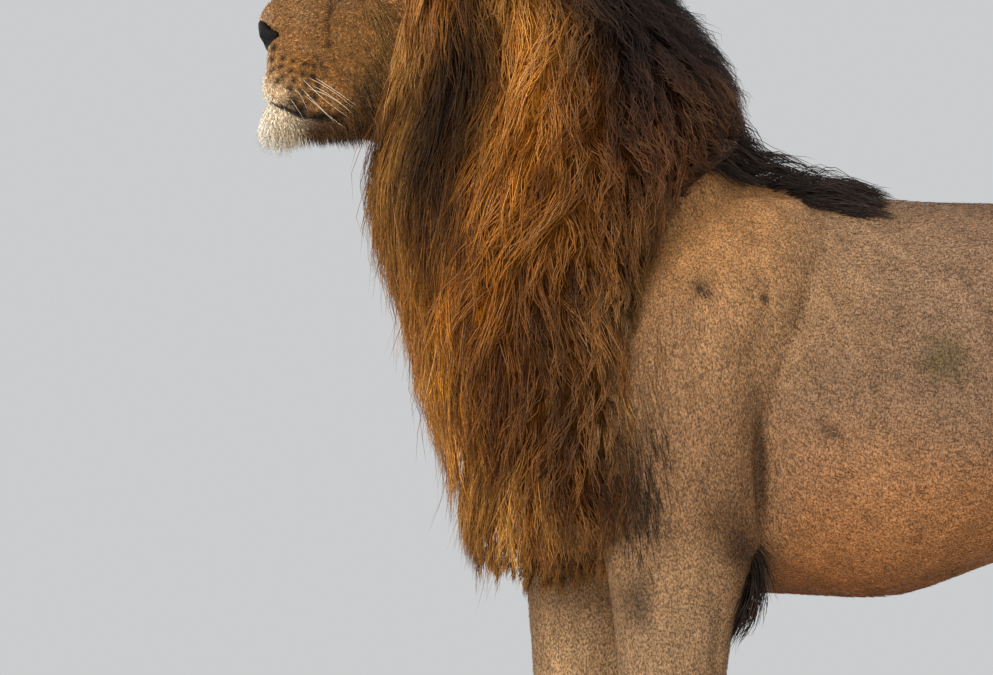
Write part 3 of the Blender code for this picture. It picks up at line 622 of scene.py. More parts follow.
def with_lids(points):
    """The skin raised over both eyeballs and opened along the lids' line, each point moved along EYE_OUT.

    Outside the opening a point at distance r from the eye's axis rises to the larger of its own height and
    sqrt(R^2 - r^2), with R the globe's radius and a lid's thickness. Inside, it sinks behind the globe.
    """
    q = points * np.where(points[:, :1] < 0, [[-1, 1, 1]], [[1, 1, 1]]) - EYE_AT
    h, v, out = q @ EYE_SIDE, q @ EYE_UP, q @ EYE_OUT
    reach = np.nonzero((np.hypot(h, v) < 0.032) & (out > -0.012))[0]
    h, v, out = h[reach], v[reach], out[reach]
    loop = lid_line(240) * EYE_RADIUS
    loop_h, loop_v = loop @ EYE_SIDE, loop @ EYE_UP
    gap = np.hypot(h[:, None] - loop_h, v[:, None] - loop_v)
    nearest, edge = gap.argmin(axis=1), gap.min(axis=1)
    opening = inside_loop(h, v, loop_h, loop_v)
    rim = edge < 0.0009  # the points next to the opening's edge are laid on it
    h, v = np.where(rim, loop_h[nearest], h), np.where(rim, loop_v[nearest], v)
    r2 = h**2 + v**2
    lid = EYE_RADIUS + 0.0007 + 0.0022 * (1 - np.exp(-edge / 0.0035))
    dome = np.sqrt(np.clip(lid**2 - r2, 0, None))
    raised = (dome + out + np.sqrt((dome - out) ** 2 + 0.0025**2)) / 2
    fade = np.clip((np.sqrt(r2) - 0.022) / 0.009, 0, 1)
    raised += (out - raised) * fade * fade * (3 - 2 * fade)
    globe = np.sqrt(np.clip(EYE_RADIUS**2 - r2, 0, None))
    raised = np.where(opening, globe - np.minimum(edge * 5.0, 0.010), raised)
    raised = np.where(rim, globe + 0.0003, raised)
    moved = points.copy()
    side = np.where(points[reach, :1] < 0, -1, 1) * np.array([[1, 0, 0]]) + np.array([[0, 1, 1]])
    moved[reach] = (EYE_AT + h[:, None] * EYE_SIDE + v[:, None] * EYE_UP + raised[:, None] * EYE_OUT) * side
    return moved

# %% [markdown]
# The mouth's line, the folds of the lips and the tear line are a few millimetres wide. Each is a path along
# which the skin is pressed in or raised, as a modeller draws a loop tool along clay. The front of the lip is
# found by looking from the nose, and everything else from the side.

# %% Swells and folds of the head
MOUTH_YZ = [(0.022, 1.1765), (0.040, 1.164), (0.053, 1.156), (0.074, 1.153), (0.098, 1.150)]
MOUTH = [(0.1, y, z) for y, z in MOUTH_YZ]
MOUTH_FRONT = [(0.0, -0.2, 1.178), (0.012, -0.2, 1.176), (0.022, -0.2, 1.175)]
HEAD_SWELLS = swells("""x y z reach_x reach_y reach_z height
0 60 1312 16 45 10 2  # bridge
42 90 1300 18 30 20 -5  # dip between bridge and cheek
38 48 1200 18 26 22 3  # whisker pad
50 74 1190 16 22 20 2
60 100 1225 16 22 26 -5  # behind the pad
0 165 1384 12 45 10 -4  # furrow of the forehead
34 180 1392 18 30 14 4  # forehead
30 122 1352 12 16 12 3  # inner brow
88 165 1320 14 20 14 -4  # temple
92 200 1268 18 40 14 3  # cheek's arch
0 20 1146 22 12 12 3  # chin
0 60 1118 20 40 10 -3""")
HEAD_FOLDS = [
    (MOUTH, 0.0030, -0.0065),
    ([(p[0], p[1], p[2] + 0.009) for p in MOUTH], 0.0050, 0.0034),  # the lip that hangs over the mouth
    ([(p[0], p[1], p[2] - 0.008) for p in MOUTH], 0.0040, 0.0016),
    (MOUTH_FRONT, 0.0026, -0.0034),
    ([(0.0, -0.2, 1.228), (0.0, -0.2, 1.205), (0.0, -0.2, 1.186)], 0.0026, -0.0050),  # cleft of the upper lip
]
HEAD_FOLDS += folds("""width height, then y z of each point
4 -5  98 1150  112 1139  116 1130  # corner of the mouth
3 -4.2  88 1302  84 1272  85 1240  # tear line
5 1.6  60 1292  64 1270  62 1252
4 -2.8  22 1257  34 1236  56 1229  72 1224
8 -3  110 1290  126 1262  128 1230
2.2 -0.9  36 1216  56 1211  78 1205
2.2 -0.9  34 1204  56 1198  80 1192
2.2 -0.9  34 1192  56 1186  78 1180""")

# %% [markdown]
# The nose leather's own face is drawn up as a small table, from its top edge to its tip. The skin is pushed
# in behind it, so that the leather can sit there as a separate pad.

# %% Face of the nose
NOSE_FACE = np.array(rows_of("""height half_width y_in_the_middle y_at_the_wing
1271 11 0.6 2
1267 18.5 0 3.4
1262.5 24 0.2 6
1259 28.5 0.6 11
1256 31.2 1 20.5
1252 32 1.8 22.8
1247 30 4.2 21.5
1242 24 6.8 18
1238 15 8.8 13.5
1233.5 6 10.8 11.6"""), float) / 1000


def nose_face(x, z):
    """(y of the leather's face, half its width) at a height: y = middle + (wing - middle) |x/half|^2.2."""
    table = NOSE_FACE[::-1]
    half, middle, wing = (np.interp(z, table[:, 0], table[:, i]) for i in (1, 2, 3))
    return middle + (wing - middle) * np.minimum(np.abs(x) / half, 1.2) ** 2.2, half


def behind_leather(points):
    """The skin pushed in where the nose leather covers it."""
    face, half = nose_face(points[:, 0], points[:, 2])
    covered = (np.abs(points[:, 0]) < half + 0.0005) & (np.abs(points[:, 2] - 1.2515) < 0.0185)
    covered &= points[:, 1] < 0.04
    under = 0.0035 + 0.0095 * (1 - np.minimum(np.abs(points[:, 0]) / half, 1) ** 10)
    y = np.where(covered, np.maximum(points[:, 1], face + under), points[:, 1])
    return np.stack([points[:, 0], y, points[:, 2]], axis=1)


def mirror_only(points):
    """Each point's place on the left half: (|x|, y, z)."""
    return np.abs(points * [1, 0, 0]) + points * [0, 1, 1]

# %% Shape the head
FACE_FUR = 0.0022  # depth of the fur, by which the skin lies under the sections
head_points -= vertex_normals(head_points, head_faces) * FACE_FUR
head_points = brushed(head_points, head_faces, HEAD_SWELLS, HEAD_FOLDS, mirror_only, 0.0)
head_points = behind_leather(with_lids(head_points))
print("head skin", len(head_points), "points, up to", np.round(head_points.max(0), 3))
# %% [markdown]
# ## Colour and lie of the coat
#
# One chart says what the coat is like at any place on the left side: its colour, its lie (the way the hair
# points) and its length. Between the chart's places the values blend by Gaussian weights, as colour does on a
# real animal, with no border. The skin and the fur both read this chart, so their markings agree. It is read
# with |x|, so both sides match; the few marks of one side only are added after.


# %% Colour helpers
def linear(code):
    """A hex colour such as "a68262", as it looks on a screen, turned into linear light."""
    value = np.array([int(code[i : i + 2], 16) for i in (0, 2, 4)]) / 255
    return np.where(value <= 0.04045, value / 12.92, ((value + 0.055) / 1.055) ** 2.4)


def blended(places, table, column, floor=1e-5):
    """One column of a chart at some places: the mean of its rows, weighted by exp(-(distance/reach)^2/2)."""
    total, weights = 0, 0
    for row in table:
        value = np.asarray(row[column], float)
        far = np.exp(-np.linalg.norm(places - row[0], axis=1) / 0.1)
        weight = near(places, np.array(row[0]), row[1]) + floor * far
        total = total + weight[:, None] * np.atleast_1d(value)
        weights = weights + weight[:, None]
    return total / weights


def waves(places, size, seed, count=14):
    """Smooth noise of about 0 +- 1: a sum of plane waves of mixed directions, wavelengths round the size."""
    own = np.random.default_rng(seed)
    ways = unit_rows(own.normal(size=(count, 3))) * (2 * np.pi / size) * own.uniform(0.6, 1.5, (count, 1))
    return np.cos(places @ ways.T + own.uniform(0, 6.28, count)).sum(axis=1) / math.sqrt(count / 2)


# %% [markdown]
# ## Pieces of the coat
#
# A hair thinner than a tenth of a millimetre can't be modelled one by one. What the eye sees on a lion are
# small strands of many hairs that cling together, 1 to 2 mm wide, so each strand here is one thin tapered
# tube with three sides. A flat card with a picture of hair on it would be lighter, but it has no thickness
# and shows its edge from the side. Each strand is also given its own tiny patch on an unwrap of the animal,
# at the place of its root, where its colour can be kept.


# %% Unwrap
CHARTS = {  # corner and size on the unit square
    "mane": (0.01, 0.01, 0.58, 0.50),
    "head": (0.61, 0.01, 0.38, 0.30),
    "trunk": (0.01, 0.53, 0.58, 0.45),
    "fore_left": (0.61, 0.33, 0.11, 0.45),
    "fore_right": (0.73, 0.33, 0.11, 0.45),
    "hind_left": (0.85, 0.33, 0.14, 0.30),
    "hind_right": (0.85, 0.65, 0.14, 0.30),
    "tail": (0.61, 0.80, 0.23, 0.18),
}


def unwrap(places, chart):
    """Each place's point on its chart: angle round the limb's or body's middle across, and length up."""
    x, y, z = places.T
    if chart == "head":
        a, b = np.arctan2(x, z - 1.27), y / 0.42
    elif chart == "mane":
        a, b = np.arctan2(x, y - 0.33), (z - 0.52) / 1.0
    elif chart == "trunk":
        a, b = np.arctan2(x, z - 0.84), y / 1.6
    elif chart == "tail":
        a, b = np.arctan2(x - 0.02, y - 1.61), z
    else:
        middle = 0.48 if "fore" in chart else 1.42 - 0.1 * np.clip(z / 0.5 - 1, 0, 1)
        side = 1 if "left" in chart else -1
        stride = 0 if side > 0 else (FORE_STRIDE if "fore" in chart else HIND_STRIDE)
        a, b = np.arctan2(x - side * 0.12, y + stride - middle), z / 1.1
    u, v, w, h = CHARTS[chart]
    return np.stack([u + w * (a / (2 * np.pi) + 0.5), v + h * np.clip(b, 0, 1)], axis=1)


PATCH = 0.003  # size of one strand's patch on the unwrap


def finished(name, points, faces, material, slot, replaced=(), colours=None, uv=None):
    """A finished piece: its mesh, moved into the frame, with its points' linear colours and its unwrap."""
    piece = mesh_object(name, points + TO_FRAME, faces)
    mesh = piece.data
    mesh.polygons.foreach_set("use_smooth", np.ones(len(faces), bool))
    if colours is not None:
        paint = mesh.attributes.new("coat_colour", "FLOAT_COLOR", "POINT")
        rgba = np.concatenate([colours, np.ones((len(colours), 1))], axis=1).astype(np.float32)
        paint.data.foreach_set("color", rgba.ravel())
    if uv is not None:
        layer = mesh.uv_layers.new(name="OFBake")
        layer.uv.foreach_set("vector", uv[faces.ravel()].astype(np.float32).ravel())
    mesh.materials.append(material)
    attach(piece, "root")
    if replaced:
        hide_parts(*replaced)
    print(name, len(faces) * (faces.shape[1] - 2), "triangles")


# %% Strands
def strand_mesh(lines, widths, outward, flat=0.6):
    """Closed tubes round lines (strand, node, 3): three-sided rings, wider across than through, and a tip."""
    count, nodes = lines.shape[:2]
    ahead = unit_rows(np.gradient(lines, axis=1))
    side = unit_rows(np.cross(ahead, outward[:, None]))
    over = np.cross(side, ahead)
    a = 2 * np.pi * np.arange(3) / 3 + np.pi / 2
    half = widths[:, :-1, None, None] / 2
    ring = half * (np.cos(a)[:, None] * side[:, :-1, None] + flat * np.sin(a)[:, None] * over[:, :-1, None])
    ring = (lines[:, :-1, None] + ring).reshape(count, -1, 3)
    points = np.concatenate([ring, lines[:, -1:]], axis=1)
    faces = [(0, 1, 2)]
    last = (nodes - 2) * 3
    for r in range(0, last, 3):
        for s in range(3):
            n = (s + 1) % 3
            faces += [(r + s, r + 3 + n, r + n), (r + s, r + 3 + s, r + 3 + n)]
    faces += [(last + s, last + 3, last + (s + 1) % 3) for s in range(3)]
    faces = np.array(faces)
    every = faces[None] + (np.arange(count) * points.shape[1])[:, None, None]
    return points.reshape(-1, 3), every.reshape(-1, 3)


def strand_uv(root_uv, nodes):
    """Per vertex: the patch at the root's place, x round the ring and y along the strand."""
    a = np.concatenate([np.tile([0, 0.5, 1.0], nodes - 1), [0.5]]) * PATCH
    t = np.concatenate([np.repeat(np.arange(nodes - 1), 3), [nodes - 1]]) / (nodes - 1) * PATCH
    return (root_uv[:, None] + np.stack([a, t], axis=1)[None]).reshape(-1, 2)


def per_vertex(values):
    """Values given per node (strand, node, 3), repeated for the ring's three points; the tip has one."""
    ring = np.repeat(values[:, :-1], 3, axis=1)
    return np.concatenate([ring, values[:, -1:]], axis=1).reshape(-1, values.shape[-1])


# %% Materials
def node(tree, kind, settings=(), **links):
    """Adds one node. Settings and values are given by name, and a link as the other node's output socket."""
    made = tree.nodes.new(kind)
    for key, value in dict(settings).items():
        setattr(made, key, value)
    for key, value in links.items():
        by_number = key[0] == "i" and key[1:].isdigit()
        socket = made.inputs[int(key[1:]) if by_number else key.replace("_", " ")]
        if isinstance(value, bpy.types.NodeSocket):
            tree.links.new(value, socket)
        else:
            socket.default_value = value
    return made


def plain_material(name, code=None, **values):
    """A material, with its colour and the shader's other values by name."""
    material = bpy.data.materials.new(name)
    material.use_nodes = True
    shader = material.node_tree.nodes["Principled BSDF"]
    if code:
        shader.inputs["Base Color"].default_value = (*linear(code), 1)
    for key, value in values.items():
        shader.inputs[key.replace("_", " ")].default_value = value
    return material


KERATIN_IOR = 1.55


def coat_material(name, roughness, specular):
    """Hair: keratin, its colour from the strand's own paint."""
    values = {"Roughness": roughness, "IOR": KERATIN_IOR, "Specular IOR Level": specular}
    material = plain_material(name, **values)
    tree = material.node_tree
    shader = tree.nodes["Principled BSDF"]
    paint = node(tree, "ShaderNodeAttribute", {"attribute_name": "coat_colour"})
    tree.links.new(paint.outputs["Color"], shader.inputs["Base Color"])
    return material


def add_grain(material, per_metre, least, most, depth, drawn=(1.15, 1.15, 0.70)):
    """Single hairs: the paint's brightness and the surface's height vary on the scale of a hair's width."""
    tree = material.node_tree
    shader = tree.nodes["Principled BSDF"]
    paint = next(item for item in tree.nodes if item.bl_idname == "ShaderNodeAttribute")
    where = node(tree, "ShaderNodeTexCoord")
    place = node(tree, "ShaderNodeMapping", Vector=where.outputs["Object"], Scale=drawn)
    grain = node(tree, "ShaderNodeTexNoise", Vector=place.outputs["Vector"], Scale=per_metre, Detail=2.0)
    tones = node(tree, "ShaderNodeMapRange", i0=grain.outputs["Fac"], i1=0.35, i2=0.65, i3=least, i4=most)
    scale = {"operation": "SCALE"}
    toned = node(tree, "ShaderNodeVectorMath", scale, i0=paint.outputs["Color"], Scale=tones.outputs[0])
    tree.links.new(toned.outputs["Vector"], shader.inputs["Base Color"])
    bump = node(tree, "ShaderNodeBump", Strength=0.6, Distance=depth, Height=grain.outputs["Fac"])
    tree.links.new(bump.outputs["Normal"], shader.inputs["Normal"])


# %% [markdown]
# Mane hair is coarse keratin with a faint shine along its length. The short fur is finer and duller, because
# its ends scatter the light. A hair is too fine to show, so the grain is drawn as coarse as it needs to be.

# %% The two kinds of hair
MANE_HAIR = coat_material("mane_hair", 0.55, 0.16)
add_grain(MANE_HAIR, 900.0, 0.62, 1.38, 0.0005, (1, 1, 0.22))  # grains of 1 mm, 5 mm long down the hair
SHORT_FUR = coat_material("short_fur", 0.65, 0.14)
add_grain(SHORT_FUR, 500.0, 0.34, 1.68, 0.0010)  # grains of about 2 mm
print("materials", MANE_HAIR.name, SHORT_FUR.name)
# %% [markdown]
# ## The mane
#
# A mane isn't one mass. The cheeks carry a ruff that hangs straight down like a curtain. Behind it a band of
# gold sweeps forwards and down across the neck, the crest over the nape is dark and frizzy, and the chest's
# hair hangs in long hanks that end in tapering wisps. Its outline is the mane's loft. Locks are traced from
# roots some centimetres under that outline: at each step a lock goes on in the direction of the chart's flow,
# and is drawn to its own depth below the outline. So the upper locks lie over the lower, like thatch. Each
# lock then gets its strands, which draw together to its tip.

# %% Chart of the mane
Lock = namedtuple("Lock", "place reach flow length curl dark light")


def lock_rows(text):
    """The chart's rows: lengths, and curl, the swing of a lock's waves, are in millimetres."""
    rows = []
    for *words, dark, light in rows_of(text):
        y, z, x, reach, *flow, length, curl = (float(word) for word in words)
        place = (x / 1000, y / 1000, z / 1000)
        rows.append(Lock(place, reach / 1000, flow, length / 1000, curl / 1000, linear(dark), linear(light)))
    return rows


# a furrow, darker as painted shade
MANE_CHART = lock_rows("""y z x reach flow_x flow_y flow_z length curl dark light
150 1270 160 30 0.3 0.1 -1 120 1.5 67360e c18642  # front edge of the ruff
140 1180 170 35 0.1 -0.02 -1 170 2 5b340d ad7831
132 1060 150 35 0 -0.04 -1 190 2.5 4f2908 9d6d2d
150 960 150 40 0 -0.1 -1 170 3 693808 bd7c26
195 1285 205 30 0.1 0.05 -1 150 2.5 7c4413 bb7932  # top of the ruff
225 1330 205 35 0.2 0.1 -1 140 3 6c3b12 aa6d2c
195 1190 205 30 0 0 -1 200 3 0c0401 39220e  # dark middle of the ruff
225 1120 205 32 0 0.02 -1 200 3 090201 2f1b0a
205 1040 205 32 0 -0.02 -1 190 3 140501 44280e
185 970 205 35 0 -0.08 -1 170 3.5 351704 7f4f1e
262 1365 170 30 0 0.06 -1 130 3 020100 0c0704
268 1400 140 26 0 0.1 -1 120 3 040201 160d07
260 1330 205 24 0 0.04 -1 150 3 010000 060402
262 1250 205 23 0 0.04 -1 150 3 000000 040202
262 1280 205 24 0 0.04 -1 150 3 000000 040202  # black hank below the ear
262 1215 205 22 0 0.02 -1 150 3 030201 100a04
262 1160 205 22 0 -0.12 -1 150 3 0f0802 251b0c
310 1290 205 28 0 -0.1 -1 150 3 a5631d ffb048  # gold of the neck
335 1225 205 30 0 -0.35 -1 150 3 aa6015 ffae4c
315 1150 205 30 0 -0.48 -1 160 3.5 975511 ef9c3b
285 1070 205 30 0 -0.48 -1 170 3.5 894a0a d1862b
265 995 205 30 0 -0.45 -1 170 3.5 733d08 b57125
235 930 205 32 0 -0.5 -1 160 3.5 763d08 d68528
370 1170 205 28 0 -0.3 -1 120 4 592e0b a56828
355 1090 205 28 0 -0.28 -1 130 4 60330c a76b2a
335 1005 205 28 0 -0.3 -1 140 4 532a06 a26522
345 945 205 24 0 -0.2 -1 130 4 301604 734418  # a darker furrow
415 1060 205 30 0 -0.05 -1 100 5 442408 895423
410 980 205 30 0 -0.06 -1 100 5 4b2606 996124
356 1300 205 34 0 0.05 -1 130 5 1a0e08 433125  # dark crest
352 1355 170 34 0 0.05 -1 130 5 150b06 38281e
378 1225 205 24 0 -0.06 -1 120 5 1a0d07 463022
425 1235 205 34 0 0.2 -1 110 6 0c0503 352520
470 1160 205 34 0 0.4 -1 95 6.5 160b05 4a3124
440 1120 205 28 0 0.1 -1 95 6 241005 5e381f
500 1110 205 32 0 0.5 -1 80 6 391d0d 905a34
560 1130 100 32 0 0.9 -0.5 70 5 251308 67442c
470 1270 60 50 0 0.55 -0.8 100 6.5 0f0604 3c2b25  # nape
410 1370 60 50 0 0.7 -0.7 110 6 140a05 413125
330 1440 50 50 0.1 0.9 -0.3 110 5 472c16 a57a46  # crown
270 1440 50 40 0.4 0.8 0.15 90 4 1a0e04 3d2812
290 1390 140 40 0.7 0.45 -0.6 120 4 40240d 8c5f2f
205 1390 120 40 0.8 0.3 -0.3 80 2.5 703e13 b97c38
480 1020 205 26 0 0.05 -1 55 4 4a2d10 885d31  # thin edge over the shoulder
460 930 205 26 0 0 -1 55 3.5 553818 8f663a
430 860 205 26 0 -0.05 -1 60 4 563110 9c6731
450 780 205 26 0 0.05 -1 60 4 53371b 9a6f3f
205 870 170 34 0 -0.45 -1 150 3.5 804207 f6a736  # chest
215 790 170 34 0 -0.32 -1 150 3.5 743c07 f09c34
270 850 205 34 0 -0.38 -1 150 4 3b1c03 854c15
290 770 205 34 0 -0.2 -1 150 4 482305 94591e
345 850 205 30 0 -0.15 -1 110 5 472607 966330
345 780 205 30 0 -0.08 -1 110 5 281306 734924
395 800 205 30 0 -0.02 -1 90 5 4a280b 966534
250 700 205 34 0 -0.1 -1 150 4 3c1c02 774813
300 660 205 34 0 0 -1 140 4.5 9d561a ffba51
360 700 205 28 0 -0.02 -1 110 5 341a07 955c29
400 680 205 30 0 0.05 -1 90 5 4a270c 865525
470 740 205 26 0 0.1 -1 70 5 1d1007 513720
470 680 205 26 0 0.1 -1 70 5 1d1007 573e26
440 695 205 26 0 0.1 -1 80 5 271306 57391b
128 1050 30 60 0 -0.06 -1 150 5 482607 986628  # throat and breast
180 900 40 60 0 -0.1 -1 150 5.5 62350c c48035
215 760 50 60 0 -0.05 -1 150 4 60370e ca8938
280 640 60 60 0 0 -1 120 4 582f0e bb8037""")

print("the mane's chart has", len(MANE_CHART), "rows")

# %% [markdown]
# How far a place is inside the mane is read off the same table as its outline. A superellipse grows evenly
# from its middle, so the place's level on it, times its distance from the middle, gives the depth.

# %% Outline of the mane
outline = smooth_stations(MANE, 120)


def mane_level(places):
    """How far out each place is, level by level: 0 on the mane's middle line, 1 on its outline."""
    z = np.clip(places[:, 2], outline[0, 0], outline[-1, 0])
    front, back, half, ahead, behind = (np.interp(z, outline[:, 0], outline[:, i]) for i in (1, 2, 4, 5, 6))
    middle, reach = (front + back) / 2, (back - front) / 2
    n = np.where(places[:, 1] < middle, ahead, behind)
    level = (np.abs(places[:, 0] / half) ** n + np.abs((places[:, 1] - middle) / reach) ** n) ** (1 / n)
    radius = np.hypot(places[:, 0], places[:, 1] - middle) / np.maximum(level, 1e-6)
    return (level - 1) * radius + np.abs(places[:, 2] - z)


def mane_gap(places, step=0.002):
    """(signed distance to the outline, positive outside; unit vector straight out), by finite differences."""
    here = mane_level(places)
    slope = np.stack([mane_level(places + step * axis) - here for axis in np.eye(3)], axis=1) / step
    steep = np.maximum(np.linalg.norm(slope, axis=1), 0.3)
    return here / steep, slope / steep[:, None]


# %% Places on a surface
def scatter(points, triangles, count, own):
    """Random places on a surface, each triangle drawn in proportion to its area, and their normals."""
    a, b, c = (points[triangles[:, i]] for i in range(3))
    across = np.cross(b - a, c - a)
    area = np.linalg.norm(across, axis=1)
    chosen = own.choice(len(triangles), count, p=area / area.sum())
    s, t = np.sqrt(own.random(count)), own.random(count)
    weights = np.stack([1 - s, s * (1 - t), s * t], axis=1)
    places = (points[triangles[chosen]] * weights[..., None]).sum(axis=1)
    return places, across[chosen] / area[chosen, None]


def spread_out(places, cell, own):
    """Evens a random scatter: of the places that share one small cell, only the first is kept."""
    keys = np.floor(places / cell + own.random(3)).astype(np.int64)
    _, first = np.unique(keys, axis=0, return_index=True)
    return np.sort(first)


body_tree, head_tree = tree_of(body_points, body_faces), tree_of(head_points, head_faces)


def above_skin(places, trees=(body_tree, head_tree)):
    """Signed height of each place over the nearest skin, and that skin's outward direction."""
    best = np.full(len(places), 9.0)
    out = np.zeros_like(places)
    for tree in trees:
        for i, place in enumerate(places.tolist()):
            hit, normal, _, gap = tree.find_nearest(place)
            height = gap if (Vector(place) - hit).dot(normal) > 0 else -gap
            if height < best[i]:
                best[i] = height
                out[i] = normal
    return best, out


# %% [markdown]
# Each lock starts at a root just under the outline. The hair is left off the face and round the ears, where
# a root would come out of bare skin.

# %% Roots of the locks
shell = evaluated("outline", *grid_mesh(rings_of(MANE, 90, 120)))
LOCK_STEPS, LOCK_SPACING = 7, 0.0226
places, _ = scatter(*shell, 30000, rng)
places = places[spread_out(places, LOCK_SPACING, rng)]
gap, out = mane_gap(places)
at = mirror_only(places)
length = blended(at, MANE_CHART, 3)[:, 0] * rng.uniform(0.60, 1.0, len(places))
curl = blended(at, MANE_CHART, 4)[:, 0]
hem = 0.626 + 0.020 * waves(places, 0.09, 42)  # wisps of unequal length
room = (places[:, 2] - hem) * rng.uniform(0.7, 1.2, len(places)) + 0.016
length = np.clip(np.minimum(length, room), 0.02, None)
thin = np.clip((length - 0.04) / 0.07, 0.15, 1)
depth = -(0.006 + 0.020 * thin) * rng.uniform(0.8, 1.2, len(places))
ends = (0.009 - 0.014 * rng.random(len(places))) * thin + 0.002
turn = (rng.normal(size=len(places)) * 0.15 + 0.17 * waves(places, 0.11, 41)) * (0.5 + curl / 0.006)
bend = rng.normal(size=len(places)) * 0.30
roots = places + out * (depth - gap)[:, None]
height, _ = above_skin(roots)
kept = (height > -0.03) & ~((at[:, 1] < 0.150) & (np.abs(at[:, 0]) < 0.105) & (at[:, 2] > 1.14))
ear_place = (at - EAR_AT) @ ear_frame().T
kept &= ~((np.abs(ear_place[:, 0]) < 0.045) & (ear_place[:, 1] < 0.03) & (np.abs(ear_place[:, 2]) < 0.055))
roots, depth, ends, length, thin, curl, turn, bend = (
    value[kept] for value in (roots, depth, ends, length, thin, curl, turn, bend)
)
print(len(roots), "roots")

# %% Trace the locks
path = [roots]
for step in range(LOCK_STEPS):
    here = path[-1]
    flow = blended(mirror_only(here), MANE_CHART, 2)
    flow[:, 0] *= np.clip(here[:, 0] / 0.05, -1, 1)
    gap, out = mane_gap(here)
    flow = unit_rows(flow)
    hangs = np.clip((here[:, 2:] - 0.68) / 0.10, 0, 1)
    flow = unit_rows(flow - 0.85 * hangs * (flow * out).sum(axis=1, keepdims=True) * out)
    sway = turn + bend * (2 * step / LOCK_STEPS - 1)
    flow = unit_rows(flow + sway[:, None] * np.cross(out, flow))
    on = here + flow * (length / LOCK_STEPS)[:, None]
    gap, out = mane_gap(on)
    t = (step + 1) / LOCK_STEPS
    wanted = depth + (ends - depth) * np.minimum(1.3 * t, 1) ** 0.8
    low = np.clip((on[:, 2] - 0.66) / 0.08, 0, 1)
    push = np.clip(wanted - gap, -0.012, 0.012)
    on = on + out * np.where(push < 0, push * low, push * (0.3 + 0.7 * low))[:, None]
    height, normal = above_skin(on)
    sunk = (height < 0.003 + 0.006 * t) & (height > -0.045)  # hair lies on the shoulder and does not sink in
    on = on + normal * np.where(sunk, 0.003 + 0.006 * t * rng.random(len(on)) - height, 0)[:, None]
    path.append(on)
locks = np.stack(path, axis=1)
print(len(locks), "locks")
# %% [markdown]
# A lock is ten or so strands. They part at the root and draw together to the tip, wave together, and one in
# ten strays from its lock. That is what keeps a mane from looking like wire or like wax.

# %% Strands of each lock
def resampled(lines, nodes):
    """Each line at another number of evenly spaced nodes."""
    t = np.linspace(0, lines.shape[1] - 1, nodes)
    i = np.minimum(t.astype(int), lines.shape[1] - 2)
    f = (t - i)[None, :, None]
    return lines[:, i] * (1 - f) + lines[:, i + 1] * f


def strands_of(locks, length, curl, children, nodes, spread, own, outwards, clump=0.80):
    """Strands (strand, node, 3) and each one's lock: spread at the root, drawn in at the tip, with waves."""
    of = np.repeat(np.arange(len(locks)), children)
    lines = resampled(locks, nodes)[of]
    out = outwards[of]
    ahead = unit_rows(lines[:, 1] - lines[:, 0])
    side = unit_rows(np.cross(ahead, out))
    t = np.linspace(0, 1, nodes)[None, :, None]
    a, r = own.uniform(0, 2 * np.pi, len(of)), spread[of] * np.sqrt(own.random(len(of)))
    tight = (clump * own.uniform(0.6, 1.2, len(of)))[:, None, None]
    shift = (r * np.cos(a))[:, None, None] * side[:, None]
    shift = shift + (0.45 * r * np.sin(a))[:, None, None] * out[:, None]
    lines = lines + shift * (1 - tight * t**0.8)
    short = own.uniform(0.55, 1.08, len(of))[:, None, None]
    lines = lines[:, :1] + (lines - lines[:, :1]) * short
    swing = curl[of][:, None, None] * (0.25 + 0.75 * t)
    wavelength = (0.085 - 8.5 * curl[of]) * own.uniform(0.75, 1.3, len(of))  # tighter where it curls more
    turns = (length[of] / wavelength)[:, None, None] * 2 * np.pi
    phase = own.uniform(0, 2 * np.pi, (len(of), 1, 1))
    common = own.uniform(0, 2 * np.pi, (len(locks), 1, 1))[of]
    lines = lines + swing * np.sin(turns * t + common + 0.8 * phase) * side[:, None]
    lines = lines + 0.6 * swing * np.cos(turns * t + phase) * out[:, None]
    frizz = own.normal(size=lines.shape) * (0.32 * curl[of])[:, None, None] * np.sqrt(t)
    stray = np.where(own.random(len(of)) < 0.10, own.uniform(-0.3, 1.0, len(of)), 0) * length[of] * 0.22
    return lines + frizz + stray[:, None, None] * t**2 * (out[:, None] + 0.6 * side[:, None]), of


MANE_HALF_WIDTH, STRAND_WIDTH = 0.230, 0.0014


def strand_piece(name, lines, of, outwards, dark, light, mix_at, width, chart, slot, replaced):
    """Strands made into a piece: each lock and each strand has its own tone between dark and light."""
    t = np.linspace(0, 1, lines.shape[1])[None, :]
    tone = rng.normal(size=of.max() + 1)[of] * 0.26 + rng.normal(size=len(of)) * 0.18
    mix = np.clip(mix_at + tone[:, None] + 0.42 * (t - 0.5), 0, 1)[..., None]
    colours = dark[:, None] * (1 - mix) + light[:, None] * mix
    grey = colours.mean(axis=2, keepdims=True) * np.array([1.30, 1.0, 0.65])  # some hair is greyer and lighter: partly faded, partly painted sheen
    faded = np.clip(rng.normal(0.0, 0.20, len(of)), 0, 0.6)[:, None, None]
    colours = colours * (1 - faded) + 1.15 * grey * faded
    wide = np.abs(lines[..., 0])  # hair that stands out past the mane's width is pressed back to it
    pressed = MANE_HALF_WIDTH + 0.4 * (wide - MANE_HALF_WIDTH)
    lines[..., 0] = np.sign(lines[..., 0]) * np.where(wide > MANE_HALF_WIDTH, pressed, wide)
    taper = np.interp(t, [0, 0.25, 0.5, 0.75, 1], [0.8, 1.0, 0.9, 0.62, 0.0])
    widths = width * rng.uniform(0.6, 1.3, (len(of), 1)) * taper
    points, faces = strand_mesh(lines, widths, outwards)
    uv = strand_uv(unwrap(lines[:, 0], chart), lines.shape[1])
    finished(name, points, faces, MANE_HAIR, slot, replaced, per_vertex(colours), uv)
